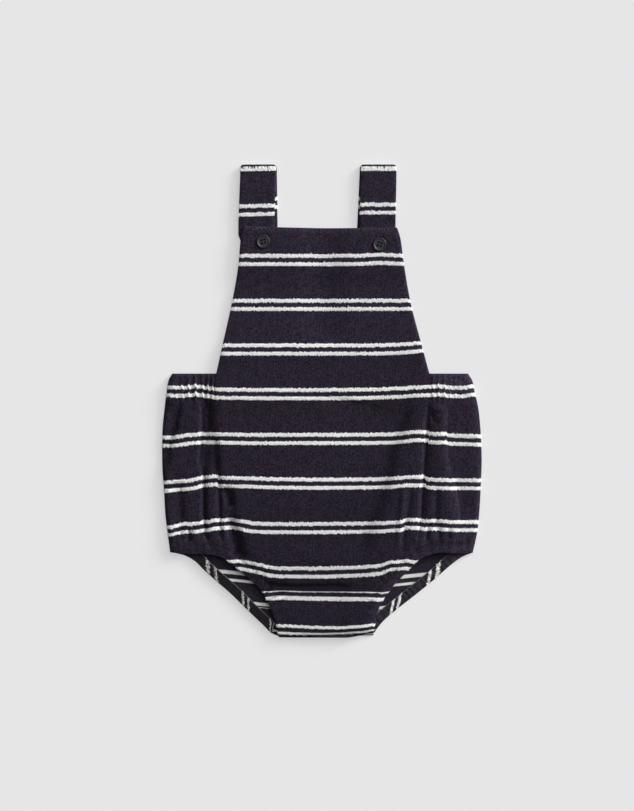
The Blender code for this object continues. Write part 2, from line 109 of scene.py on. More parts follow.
class Line:
    """A smooth curve through the rows of an outline."""

    STEPS = 12

    def __init__(self, rows: list[Row] | tuple[Row, ...]) -> None:
        """Passes a Catmull-Rom curve through the rows."""
        before, after = [rows[0], *rows], [*rows[2:], rows[-1]]
        p, q, r, s = (np.array(part) for part in zip(*zip(before, rows, rows[1:], after)))
        t = (np.arange(self.STEPS) / self.STEPS)[None, :, None]
        p, q, r, s = (part[:, None, :] for part in (p, q, r, s))
        square, cubic = 2 * p - 5 * q + 4 * r - s, 3 * q - p - 3 * r + s
        curve = 0.5 * (2 * q + (r - p) * t + square * t**2 + cubic * t**3)
        self.points = np.concatenate([curve.reshape(-1, 2), [rows[-1]]])
        self.lengths = np.concatenate([[0.0], np.cumsum(np.hypot(*np.diff(self.points, axis=0).T))])

    def at(self, share: Array) -> tuple[Array, Array]:
        """The points at shares of the curve's length."""
        want = np.clip(share, 0.0, 1.0) * self.lengths[-1]
        return tuple(np.interp(want, self.lengths, self.points[:, axis]) for axis in (0, 1))

    def nearest(self, x: Array, y: Array) -> tuple[Array, Array]:
        """How far points lie from the curve, and how far along it.

        Args:
            x: The points' x.
            y: The points' y, in the same shape.

        Returns:
            The distances, and the lengths up to the nearest place on the curve.
        """
        away, along = np.full(np.shape(x), np.inf), np.zeros(np.shape(x))
        for (ax, ay), (bx, by), passed in zip(self.points, self.points[1:], self.lengths):
            dx, dy = bx - ax, by - ay
            held = np.clip(((x - ax) * dx + (y - ay) * dy) / (dx * dx + dy * dy), 0.0, 1.0)
            here = np.hypot(x - ax - dx * held, y - ay - dy * held)
            along = np.where(here < away, passed + held * math.hypot(dx, dy), along)
            away = np.minimum(away, here)
        return away, along

    def distance(self, x: Array, y: Array) -> Array:
        """How far points lie from the curve."""
        return self.nearest(x, y)[0]


# ---- nodes ----
def add_node(tree: Tree, kind: str, inputs: dict | None = None, **settings: Any) -> bpy.types.Node:
    """Adds one node to a tree.

    Args:
        tree: The shader or geometry tree.
        kind: The node's type.
        inputs: A value, or a socket to link from, for each of its inputs by name or number.
        **settings: The node's own properties.

    Returns:
        The new node.
    """
    node = tree.nodes.new(kind)
    for name, value in settings.items():
        setattr(node, name, value)
    for key, value in (inputs or {}).items():
        if isinstance(value, Socket):
            tree.links.new(value, node.inputs[key])
        else:
            node.inputs[key].default_value = value
    return node


def linear(colour: str) -> tuple[float, float, float, float]:
    """Turns an sRGB hex colour into linear RGBA.

    Args:
        colour: Six hex digits after a #.

    Returns:
        Red, green, blue and an alpha of 1.
    """
    parts = (int(colour[n : n + 2], 16) / 255.0 for n in (1, 3, 5))
    return (*(c / 12.92 if c <= 0.04045 else ((c + 0.055) / 1.055) ** 2.4 for c in parts), 1.0)


# ---- finishes ----
@dataclass(frozen=True)
class Stripes:
    """The knit's repeat: a pair of stripes, then a wide band of ground. Sizes are across the stripes."""

    pitch: float = 37.9
    pair_middle: float = 119.6  # the cloth's own coordinate at the middle of the bib's first pair
    offset: float = 3.5  # from a pair's middle to the middle of each of its stripes
    half: float = 1.5
    tooth: float = 0.95  # width of a tooth of a stripe's edge
    tooth_slope: float = 0.2  # its width as a share of its height
    tooth_spread: Pair = (0.32, 0.68)  # the noise's values at its two ends

    def off_middle(self, tree: Tree, along: Socket) -> Socket:
        """Adds nodes that measure how far the cloth lies from the middle of the nearest stripe.

        Args:
            tree: The shader or geometry tree.
            along: The cloth's coordinate across the stripes.

        Returns:
            The distance in millimetres.
        """
        edge = self.pitch / 2.0
        moved = add_node(tree, "ShaderNodeMath", {0: along, 1: self.pair_middle}, operation="SUBTRACT")
        wrapped = add_node(tree, "ShaderNodeMath", {0: moved.outputs[0], 1: edge, 2: -edge}, operation="WRAP")
        from_pair = add_node(tree, "ShaderNodeMath", {0: wrapped.outputs[0]}, operation="ABSOLUTE")
        inputs = {0: from_pair.outputs[0], 1: self.offset}
        from_stripe = add_node(tree, "ShaderNodeMath", inputs, operation="SUBTRACT")
        return add_node(tree, "ShaderNodeMath", {0: from_stripe.outputs[0]}, operation="ABSOLUTE").outputs[0]

    def teeth(self, tree: Tree, cloth: Any, reach: float) -> Socket:
        """Adds the teeth of a stripe's edge: from one wale to the next, its loops end at another height.

        Args:
            tree: The shader or geometry tree.
            cloth: The cloth's coordinates.
            reach: How far a tooth stands out.

        Returns:
            How far the edge lies inwards.
        """
        inputs = {0: cloth, 1: (1.0, self.tooth_slope, 0.0)}
        upright = add_node(tree, "ShaderNodeVectorMath", inputs, operation="MULTIPLY")
        inputs = {"Vector": upright.outputs[0], "Scale": 1.0 / self.tooth, "Detail": 1.0}
        wander = add_node(tree, "ShaderNodeTexNoise", inputs)
        low, high = self.tooth_spread
        inputs = {0: wander.outputs[0], 1: low, 2: high, 3: -reach, 4: reach}
        return add_node(tree, "ShaderNodeMapRange", inputs).outputs[0]


STRIPES = Stripes()


@dataclass(frozen=True)
class TerryKnit:
    """Cotton terry knit: small loops of yarn on a plain ground, so it is matte, mottled and softly streaked.

    The loops are knitted in upright wales, which show as faint streaks along the garment. At a stripe's edge
    the cream loops stand among navy ones, which makes that edge rough.
    """

    name: str
    ground_dark: str
    ground_light: str
    stripe_dark: str
    stripe_light: str
    edge: float  # how far a stripe's edge wanders
    edge_blur: float
    gaps: float = 0.0  # share of a stripe that the ground covers
    gap_width: float = 0.9
    gap_limits: Pair = (0.3, 0.7)  # the noise's limits at no gaps and at nothing but gaps
    gap_blur: float = 0.05
    painted_shading: float = 0.45  # how much lighter painted light makes the knit, and how much darker painted shade makes it
    cool: tuple[float, ...] = (0.85, 1.015, 1.03, 1.0)  # the dye is a little uneven
    warm: tuple[float, ...] = (1.16, 0.96, 1.0, 1.0)
    dye_blot: float = 2.0
    dye_cloud: float = 9.0
    dye_shares: tuple[float, ...] = (0.4, 0.6)  # of its clouds and of its blots
    dye_spread: Pair = (0.38, 0.62)  # their sums at the coolest and at the warmest
    mottle: float = 1.1  # width of a clump of loops
    upright: float = 0.58  # its width as a share of its height
    fineness: float = 1.7  # how much finer its fibres are
    wale: float = 1.8
    wale_length: float = 9.0
    wear: float = 6.0
    light_shares: tuple[float, ...] = (0.42, 0.26, 0.17, 0.15)  # of clumps, fibres, wales and wear
    light_spread: Pair = (0.42, 0.58)  # their sums at the darkest and at the lightest
    cream_spread: Pair = (0.25, 0.75)  # the same for the stripes, of the fibres alone
    loop: float = 0.95  # loops are 0.5 apart; drawn coarser, to show
    relief: float = 0.35
    relief_strength: float = 0.8
    stripe_rise: float = 0.4  # how much higher a stripe's loops stand, as a share of the relief
    roughness: float = 0.92
    specular: float = 0.12
    sheen: float = 0.05
    sheen_roughness: float = 0.5

    def material(self) -> bpy.types.Material:
        """Builds the material, once."""
        made = bpy.data.materials.get(self.name)
        if made:
            return made
        made = bpy.data.materials.new(self.name)
        made.use_nodes = True
        tree = made.node_tree
        shader = tree.nodes["Principled BSDF"]
        held = add_node(tree, "ShaderNodeAttribute", attribute_name="cloth").outputs["Vector"]
        aside, along, painted_shading = add_node(tree, "ShaderNodeSeparateXYZ", {0: held}).outputs
        cloth = add_node(tree, "ShaderNodeCombineXYZ", {0: aside, 1: along}).outputs[0]
        inputs = {0: cloth, 1: (1.0, self.upright, 1.0)}
        upright = add_node(tree, "ShaderNodeVectorMath", inputs, operation="MULTIPLY").outputs[0]
        inputs = {0: cloth, 1: (1.0, self.wale / self.wale_length, 1.0)}
        drawn = add_node(tree, "ShaderNodeVectorMath", inputs, operation="MULTIPLY").outputs[0]
        noises = (
            (upright, self.mottle, 1.0), (upright, self.mottle / self.fineness, 1.0), (drawn, self.wale, 2.0),
            (cloth, self.wear, 2.0), (cloth, self.dye_cloud, 1.0), (cloth, self.dye_blot, 2.0),
        )
        inputs = ({"Vector": place, "Scale": 1.0 / size, "Detail": detail} for place, size, detail in noises)
        made_noises = (add_node(tree, "ShaderNodeTexNoise", given).outputs[0] for given in inputs)
        clumps, fibres, wales, wear, clouds, blots = made_noises
        light = self.weighted(tree, (clumps, fibres, wales, wear), self.light_shares, self.light_spread)
        inputs = {0: light, 6: linear(self.ground_dark), 7: linear(self.ground_light)}
        ground = add_node(tree, "ShaderNodeMix", inputs, data_type="RGBA").outputs[2]
        dye = self.weighted(tree, (clouds, blots), self.dye_shares, self.dye_spread)
        inputs = {0: dye, 6: self.cool, 7: self.warm}
        dye = add_node(tree, "ShaderNodeMix", inputs, data_type="RGBA").outputs[2]
        # painted light and shade: above 0 the ground is painted lighter, below 0 ground and stripes are
        # painted darker
        inputs = {0: painted_shading, 1: self.painted_shading, 2: 1.0}
        painted_brightness = add_node(tree, "ShaderNodeMath", inputs, operation="MULTIPLY_ADD").outputs[0]
        product = {"data_type": "RGBA", "blend_type": "MULTIPLY"}
        for factor in (dye, painted_brightness):
            ground = add_node(tree, "ShaderNodeMix", {0: 1.0, 6: ground, 7: factor}, **product).outputs[2]
        low, high = self.cream_spread
        cream = add_node(tree, "ShaderNodeMapRange", {0: fibres, 1: low, 2: high}).outputs[0]
        inputs = {0: cream, 6: linear(self.stripe_dark), 7: linear(self.stripe_light)}
        cream = add_node(tree, "ShaderNodeMix", inputs, data_type="RGBA").outputs[2]
        painted_darkness = add_node(tree, "ShaderNodeMath", {0: painted_brightness, 1: 1.0}, operation="MINIMUM").outputs[0]
        cream = add_node(tree, "ShaderNodeMix", {0: 1.0, 6: cream, 7: painted_darkness}, **product).outputs[2]
        stripe = self.stripe(tree, cloth, along)
        inputs = {0: stripe, 6: ground, 7: cream}
        colour = add_node(tree, "ShaderNodeMix", inputs, data_type="RGBA").outputs[2]
        shader.inputs["Roughness"].default_value = self.roughness
        shader.inputs["Specular IOR Level"].default_value = self.specular
        shader.inputs["Sheen Weight"].default_value = self.sheen
        shader.inputs["Sheen Roughness"].default_value = self.sheen_roughness
        tree.links.new(colour, shader.inputs["Base Color"])
        tree.links.new(self.bump(tree, cloth, clumps, stripe), shader.inputs["Normal"])
        return made

    @staticmethod
    def weighted(tree: Tree, noises: tuple[Any, ...], shares: tuple[float, ...], spread: Pair) -> Socket:
        """Adds the weighted sum of some noises, drawn out until it goes from 0 to 1.

        Args:
            tree: The shader tree.
            noises: The noises.
            shares: How much each one counts.
            spread: The sums that become 0 and 1.

        Returns:
            The sum.
        """
        total = 0.0
        for noise, share in zip(noises, shares):
            inputs = {0: noise, 1: share, 2: total}
            total = add_node(tree, "ShaderNodeMath", inputs, operation="MULTIPLY_ADD").outputs[0]
        return add_node(tree, "ShaderNodeMapRange", {0: total, 1: spread[0], 2: spread[1]}).outputs[0]

    def stripe(self, tree: Tree, cloth: Any, along: Any) -> Socket:
        """Adds the stripes.

        Args:
            tree: The shader tree.
            cloth: The cloth's coordinates.
            along: The one across the stripes.

        Returns:
            1 on a stripe and 0 on the ground.
        """
        inputs = {0: STRIPES.off_middle(tree, along), 1: STRIPES.teeth(tree, cloth, self.edge)}
        off = add_node(tree, "ShaderNodeMath", inputs, operation="ADD").outputs[0]
        low, high = STRIPES.half - self.edge_blur, STRIPES.half + self.edge_blur
        stripe = add_node(tree, "ShaderNodeMapRange", {0: off, 1: low, 2: high, 3: 1.0, 4: 0.0}).outputs[0]
        if not self.gaps:
            return stripe
        inputs = {"Vector": cloth, "Scale": 1.0 / self.gap_width, "Detail": 2.0}
        holes = add_node(tree, "ShaderNodeTexNoise", inputs).outputs[0]
        limit = mix(*self.gap_limits, self.gaps)
        inputs = {0: holes, 1: limit - self.gap_blur, 2: limit + self.gap_blur}
        kept = add_node(tree, "ShaderNodeMapRange", inputs).outputs[0]
        return add_node(tree, "ShaderNodeMath", {0: stripe, 1: kept}, operation="MULTIPLY").outputs[0]

    def bump(self, tree: Tree, cloth: Any, clumps: Any, stripe: Any) -> Socket:
        """Adds the loops' relief.

        Args:
            tree: The shader tree.
            cloth: The cloth's coordinates.
            clumps: The noise of the clumps of loops.
            stripe: 1 on a stripe, whose loops stand a little higher.

        Returns:
            The bent normal.
        """
        loops = add_node(tree, "ShaderNodeTexVoronoi", {"Vector": cloth, "Scale": 1.0 / self.loop})
        inputs = {0: clumps, 1: loops.outputs["Distance"]}
        height = add_node(tree, "ShaderNodeMath", inputs, operation="SUBTRACT").outputs[0]
        inputs = {0: stripe, 1: self.stripe_rise, 2: height}
        height = add_node(tree, "ShaderNodeMath", inputs, operation="MULTIPLY_ADD").outputs[0]
        inputs = {"Strength": self.relief_strength, "Distance": self.relief * MM, "Height": height}
        return add_node(tree, "ShaderNodeBump", inputs).outputs[0]


@dataclass(frozen=True)
class LoopYarn:
    """The cream cotton yarn of the stripes' loops: soft, matte and a little uneven in tone."""

    name: str = "cream_cotton_loop_yarn"
    dark: str = "#e1e1df"
    light: str = "#fefefd"
    blot: float = 1.4
    roughness: float = 0.95
    specular: float = 0.15

    def material(self) -> bpy.types.Material:
        """Builds the material."""
        made = bpy.data.materials.new(self.name)
        made.use_nodes = True
        tree = made.node_tree
        shader = tree.nodes["Principled BSDF"]
        place = add_node(tree, "ShaderNodeTexCoord").outputs["Object"]
        inputs = {"Vector": place, "Scale": 1.0 / (self.blot * MM), "Detail": 2.0}
        tone = add_node(tree, "ShaderNodeTexNoise", inputs).outputs[0]
        tone = add_node(tree, "ShaderNodeMapRange", {0: tone, 1: 0.3, 2: 0.7}).outputs[0]
        inputs = {0: tone, 6: linear(self.dark), 7: linear(self.light)}
        colour = add_node(tree, "ShaderNodeMix", inputs, data_type="RGBA").outputs[2]
        tree.links.new(colour, shader.inputs["Base Color"])
        shader.inputs["Roughness"].default_value = self.roughness
        shader.inputs["Specular IOR Level"].default_value = self.specular
        return made


@dataclass(frozen=True)
class Thread:
    """Spun polyester thread: two plies twisted, with a dull shine along each stitch."""

    name: str
    colour: str
    ply: float = 0.35
    ply_depth: float = 0.1
    ply_strength: float = 0.5
    shade: float = 0.6  # how light the painted shade between its plies is, as a share
    roughness: float = 0.6
    specular: float = 0.3

    def material(self) -> bpy.types.Material:
        """Builds the material."""
        made = bpy.data.materials.new(self.name)
        made.use_nodes = True
        tree = made.node_tree
        shader = tree.nodes["Principled BSDF"]
        place = add_node(tree, "ShaderNodeTexCoord").outputs["Object"]
        inputs = {"Vector": place, "Scale": 1.0 / (self.ply * MM * 2.0 * math.pi), "Distortion": 1.0}
        plies = add_node(tree, "ShaderNodeTexWave", inputs, bands_direction="DIAGONAL").outputs["Fac"]
        inputs = {"Strength": self.ply_strength, "Distance": self.ply_depth * MM, "Height": plies}
        bump = add_node(tree, "ShaderNodeBump", inputs)
        red, green, blue, alpha = linear(self.colour)
        shade = (red * self.shade, green * self.shade, blue * self.shade, alpha)
        inputs = {0: plies, 6: shade, 7: linear(self.colour)}
        colour = add_node(tree, "ShaderNodeMix", inputs, data_type="RGBA").outputs[2]
        tree.links.new(colour, shader.inputs["Base Color"])
        tree.links.new(bump.outputs[0], shader.inputs["Normal"])
        shader.inputs["Roughness"].default_value = self.roughness
        shader.inputs["Specular IOR Level"].default_value = self.specular
        return made


@dataclass(frozen=True)
class ButtonResin:
    """Cast polyester resin, turned and tumbled: a satin dark grey with fine grain and cloudy pigment."""

    name: str = "dark_grey_polyester_resin"
    dark: str = "#141218"
    light: str = "#1e1b23"
    cloud: float = 2.5
    grain: float = 0.25
    grain_depth: float = 0.05
    grain_strength: float = 0.15
    roughness: Pair = (0.38, 0.47)  # in the dark and in the light clouds
    refraction: float = 1.5

    def material(self) -> bpy.types.Material:
        """Builds the material."""
        made = bpy.data.materials.new(self.name)
        made.use_nodes = True
        tree = made.node_tree
        shader = tree.nodes["Principled BSDF"]
        place = add_node(tree, "ShaderNodeTexCoord").outputs["Object"]
        inputs = {"Vector": place, "Scale": 1.0 / (self.cloud * MM), "Detail": 3.0}
        clouds = add_node(tree, "ShaderNodeTexNoise", inputs).outputs[0]
        inputs = {"Vector": place, "Scale": 1.0 / (self.grain * MM), "Detail": 1.0}
        grain = add_node(tree, "ShaderNodeTexNoise", inputs).outputs[0]
        inputs = {0: clouds, 6: linear(self.dark), 7: linear(self.light)}
        colour = add_node(tree, "ShaderNodeMix", inputs, data_type="RGBA").outputs[2]
        tree.links.new(colour, shader.inputs["Base Color"])
        smoothest, roughest = self.roughness
        inputs = {0: clouds, 1: 0.3, 2: 0.7, 3: smoothest, 4: roughest}
        tree.links.new(add_node(tree, "ShaderNodeMapRange", inputs).outputs[0], shader.inputs["Roughness"])
        inputs = {"Strength": self.grain_strength, "Distance": self.grain_depth * MM, "Height": grain}
        tree.links.new(add_node(tree, "ShaderNodeBump", inputs).outputs[0], shader.inputs["Normal"])
        shader.inputs["IOR"].default_value = self.refraction
        return made


@dataclass(frozen=True)
class LightTable:
    """Matte white acrylic lit from below, so that shadows on it are faint."""

    name: str = "lit_white_acrylic"
    colour: str = "#e6e6e6"
    glow: float = 0.62  # share of its light that comes from below

    def material(self) -> bpy.types.Material:
        """Builds the material."""
        made = bpy.data.materials.new(self.name)
        made.use_nodes = True
        shader = made.node_tree.nodes["Principled BSDF"]
        pale = linear(self.colour)
        shader.inputs["Base Color"].default_value = (*(part * (1.0 - self.glow) for part in pale[:3]), 1.0)
        shader.inputs["Emission Color"].default_value = pale
        shader.inputs["Emission Strength"].default_value = self.glow
        shader.inputs["Roughness"].default_value = 1.0
        shader.inputs["Specular IOR Level"].default_value = 0.0
        return made


RIGHT_SIDE = TerryKnit(
    "navy_and_cream_terry_knit", "#100d14", "#2c2533", "#dededd", "#fafafa", edge=0.58, edge_blur=0.1
)
WRONG_SIDE = TerryKnit(
    "navy_and_cream_terry_knit_inside", "#18161c", "#2c2832", "#bdbdbb", "#dfdfdc",
    edge=0.2, edge_blur=0.3, relief=0.12, sheen=0.0,
)
# the left hem's wide gaps are partly the stripes' real breaks and partly painted shade; the right hem's few
# gaps leave its stripes painted lit
LEFT_HEM = TerryKnit(
    "navy_and_cream_terry_knit_gathered", "#121016", "#262229", "#c6c6c3", "#f2f2ee",
    edge=0.8, edge_blur=0.2, gaps=0.55,
)
RIGHT_HEM = replace(LEFT_HEM, name="navy_and_cream_terry_knit_hem_lit", gaps=0.1)
NAVY_THREAD = Thread("navy_sewing_thread", "#4a4652")
CASING_THREAD = Thread("dark_navy_sewing_thread", "#2a2631")
DARK_THREAD = Thread("dark_button_thread", "#0e0d0f")
OVERLOCK_THREAD = Thread("grey_green_overlock_thread", "#8f988e")


# ---- meshes ----
class Cloth(NamedTuple):
    """What a wall of cloth is made from: two grids of points, and the knit's own coordinates at each."""

    outer: Array
    inner: Array
    knit: Array  # along the stripes, across them, and the painted light (above 0) or painted shade (below 0), from -1 to 1
    pile: Array  # 1 where loops stand


def link(name: str, mesh: bpy.types.Mesh) -> Piece:
    """Puts a mesh in the scene as a piece that rides on the romper."""
    piece = bpy.data.objects.new(name, mesh)
    bpy.context.scene.collection.objects.link(piece)
    return piece


def signed_volume(points: Array, faces: Array) -> float:
    """Six times the volume inside quads that face outwards; it is negative where they face inwards."""
    a, b, c, d = (points[faces[:, n]] for n in range(4))
    return float(np.einsum("ij,ij->", a, np.cross(b, c)) + np.einsum("ij,ij->", a, np.cross(c, d)))


def wall(name: str, cloth: Cloth, finishes: tuple[TerryKnit, TerryKnit], kept: Array | None = None) -> Piece:
    """Makes a closed wall of cloth from its two faces.

    Args:
        name: The piece's name.
        cloth: The grids of points of its faces, and the knit's coordinates.
        finishes: The materials of the outer and the inner face.
        kept: Which cells of the grid are cloth; all of them if it is left out.

    Returns:
        The new piece.
    """
    rows, columns = cloth.outer.shape[:2]
    count = rows * columns
    index = np.arange(count).reshape(rows, columns)
    kept = np.ones((rows - 1, columns - 1), bool) if kept is None else kept
    quads = np.stack([index[1:, :-1], index[1:, 1:], index[:-1, 1:], index[:-1, :-1]], axis=-1)[kept]
    starts, ends = quads.ravel(), np.roll(quads, -1, axis=1).ravel()
    open_edge = ~np.isin(starts * count + ends, ends * count + starts)
    a, b = starts[open_edge], ends[open_edge]
    faces = np.concatenate([quads, np.stack([b, a, a + count, b + count], axis=1), quads[:, ::-1] + count])
    used, faces = np.unique(faces, return_inverse=True)
    faces = faces.reshape(-1, 4)
    points = np.concatenate([cloth.outer.reshape(-1, 3), cloth.inner.reshape(-1, 3)])[used] * MM
    if signed_volume(points, faces) < 0.0:
        faces = faces[:, ::-1]
    mesh = bpy.data.meshes.new(name)
    mesh.from_pydata(points.tolist(), [], faces.tolist())
    for finish in finishes:
        mesh.materials.append(finish.material())
    side = np.zeros(len(faces), int)
    side[-len(quads) :] = 1
    mesh.polygons.foreach_set("material_index", side)
    knit = np.concatenate([cloth.knit.reshape(-1, 3)] * 2)[used]
    mesh.attributes.new("cloth", "FLOAT_VECTOR", "POINT").data.foreach_set("vector", knit.ravel())
    pile = np.concatenate([cloth.pile.ravel(), np.zeros(count)])[used]
    mesh.attributes.new("pile", "FLOAT", "POINT").data.foreach_set("value", pile)
    mesh.shade_smooth()
    mesh.update()
    return link(name, mesh)


def strand(name: str, points: Array) -> bpy.types.Mesh:
    """A mesh of edges only, through points in millimetres, for a tree to follow."""
    mesh = bpy.data.meshes.new(name)
    mesh.from_pydata((points * MM).tolist(), [(n, n + 1) for n in range(len(points) - 1)], [])
    return mesh


# ---- what Geometry Nodes repeat ----
class Repeat:
    """A Geometry Nodes tree with named inputs, which makes one plain mesh from another."""

    def __init__(self, name: str, sizes: dict[str, float], material: bpy.types.Material) -> None:
        """Starts the tree.

        Args:
            name: The tree's name.
            sizes: A number for each named input.
            material: What the result is made of.
        """
        self.tree = bpy.data.node_groups.new(name, "GeometryNodeTree")
        sockets = self.tree.interface
        sockets.new_socket("Geometry", in_out="OUTPUT", socket_type="NodeSocketGeometry")
        sockets.new_socket("Geometry", in_out="INPUT", socket_type="NodeSocketGeometry")
        self.given = {}
        for size, value in sizes.items():
            kind = "NodeSocketInt" if isinstance(value, int) else "NodeSocketFloat"
            self.given[sockets.new_socket(size, in_out="INPUT", socket_type=kind).identifier] = value
        socket = sockets.new_socket("Material", in_out="INPUT", socket_type="NodeSocketMaterial")
        self.given[socket.identifier] = material
        self.inputs = add_node(self.tree, "NodeGroupInput").outputs

    def finish(self, instances: Socket) -> None:
        """Ends the tree in real, smooth meshes with their material."""
        real = add_node(self.tree, "GeometryNodeRealizeInstances", {0: instances})
        soft = add_node(self.tree, "GeometryNodeSetShadeSmooth", {0: real.outputs[0]})
        inputs = {"Geometry": soft.outputs[0], "Material": self.inputs["Material"]}
        dressed = add_node(self.tree, "GeometryNodeSetMaterial", inputs)
        add_node(self.tree, "NodeGroupOutput", {0: dressed.outputs[0]})

    def grow(self, name: str, mesh: bpy.types.Mesh) -> Piece:
        """Runs the tree on a mesh.

        Args:
            name: The new piece's name.
            mesh: What the tree starts from.

        Returns:
            The result, as a piece with a plain mesh.
        """
        seedling = link(f"{name}_start", mesh)
        modifier = seedling.modifiers.new("Repeat", "NODES")
        modifier.node_group = self.tree
        for identifier, value in self.given.items():
            modifier[identifier] = value
        evaluated = seedling.evaluated_get(bpy.context.evaluated_depsgraph_get())
        grown = bpy.data.meshes.new_from_object(evaluated)
        grown.name = name
        for attribute in [a for a in grown.attributes if a.name in ("cloth", "pile")]:
            grown.attributes.remove(attribute)
        bpy.data.objects.remove(seedling)
        return link(name, grown)


class LoopPile(Repeat):
    """The cream loops on the stripes. They are drawn coarser than real ones, which are too fine to show."""

    WIDTH = 0.85
    HEIGHT = 0.42
    YARN = 0.17
    STRAY = (-0.5, 0.2)  # how far past the stripe's edge the last loops stand
    SCALE = (0.75, 1.25)
    STANDING = 0.9  # the pile's share from which loops stand

    def __init__(self, density: float = 1.0, seed: int = 4) -> None:
        """Builds the tree: points where the stripes are, and an arched loop of yarn on each.

        Args:
            density: Loops to a square millimetre.
            seed: For the places, turns and sizes.
        """
        sizes = {
            "Density": density / MM**2, "Loop Width": self.WIDTH * MM, "Loop Height": self.HEIGHT * MM,
            "Yarn Radius": self.YARN * MM, "Half Stripe": STRIPES.half, "Seed": seed,
        }
        super().__init__("stripe_loops", sizes, LoopYarn().material())
        tree, given = self.tree, self.inputs
        pile = add_node(tree, "GeometryNodeInputNamedAttribute", {"Name": "pile"}, data_type="FLOAT")
        inputs = {0: pile.outputs[0], 1: self.STANDING}
        on_top = add_node(tree, "FunctionNodeCompare", inputs, operation="GREATER_THAN").outputs[0]
        inputs = {0: given["Geometry"], "Selection": on_top}
        inputs |= {"Density": given["Density"], "Seed": given["Seed"]}
        spots = add_node(tree, "GeometryNodeDistributePointsOnFaces", inputs).outputs
        cloth = add_node(tree, "GeometryNodeInputNamedAttribute", {"Name": "cloth"}, data_type="FLOAT_VECTOR")
        aside, along, _ = add_node(tree, "ShaderNodeSeparateXYZ", {0: cloth.outputs[0]}).outputs
        flat = add_node(tree, "ShaderNodeCombineXYZ", {0: aside, 1: along}).outputs[0]
        teeth = STRIPES.teeth(tree, flat, RIGHT_SIDE.edge)
        inputs = {0: STRIPES.off_middle(tree, along), 1: teeth}
        off = add_node(tree, "ShaderNodeMath", inputs, operation="ADD").outputs[0]
        inputs = {2: self.STRAY[0], 3: self.STRAY[1], "Seed": given["Seed"]}
        stray = add_node(tree, "FunctionNodeRandomValue", inputs).outputs[1]
        limit = add_node(tree, "ShaderNodeMath", {0: given["Half Stripe"], 1: stray}, operation="ADD")
        inputs = {0: off, 1: limit.outputs[0]}
        near = add_node(tree, "FunctionNodeCompare", inputs, operation="LESS_THAN").outputs[0]
        kept = add_node(tree, "GeometryNodeSeparateGeometry", {0: spots["Points"], 1: near}).outputs[0]
        turn = add_node(tree, "FunctionNodeRandomValue", {2: 0.0, 3: 2.0 * math.pi, "Seed": given["Seed"]})
        about = add_node(tree, "FunctionNodeAxisAngleToRotation", {"Angle": turn.outputs[1]})
        inputs = {0: spots["Rotation"], 1: about.outputs[0]}
        turned = add_node(tree, "FunctionNodeRotateRotation", inputs, rotation_space="LOCAL").outputs[0]
        inputs = {2: self.SCALE[0], 3: self.SCALE[1], "Seed": given["Seed"]}
        size = add_node(tree, "FunctionNodeRandomValue", inputs).outputs[1]
        inputs = {"Points": kept, "Instance": self.loop(), "Rotation": turned, "Scale": size}
        self.finish(add_node(tree, "GeometryNodeInstanceOnPoints", inputs).outputs[0])

    def loop(self) -> Socket:
        """Adds one loop: half an ellipse of yarn, three-sided, standing on its two feet."""
        tree, given = self.tree, self.inputs
        arc = add_node(tree, "GeometryNodeCurveArc", {"Resolution": 4, "Radius": 1.0, "Sweep Angle": math.pi})
        half = add_node(tree, "ShaderNodeMath", {0: given["Loop Width"], 1: 0.5}, operation="MULTIPLY")
        scale = add_node(tree, "ShaderNodeCombineXYZ", {0: half.outputs[0], 1: given["Loop Height"], 2: 1.0})
        scaled = add_node(tree, "GeometryNodeTransform", {0: arc.outputs[0], "Scale": scale.outputs[0]})
        upright = {0: scaled.outputs[0], "Rotation": (math.pi / 2.0, 0.0, 0.0)}
        upright = add_node(tree, "GeometryNodeTransform", upright)
        inputs = {"Resolution": 3, "Radius": given["Yarn Radius"]}
        yarn = add_node(tree, "GeometryNodeCurvePrimitiveCircle", inputs)
        inputs = {0: upright.outputs[0], 1: yarn.outputs[0]}
        return add_node(tree, "GeometryNodeCurveToMesh", inputs).outputs[0]


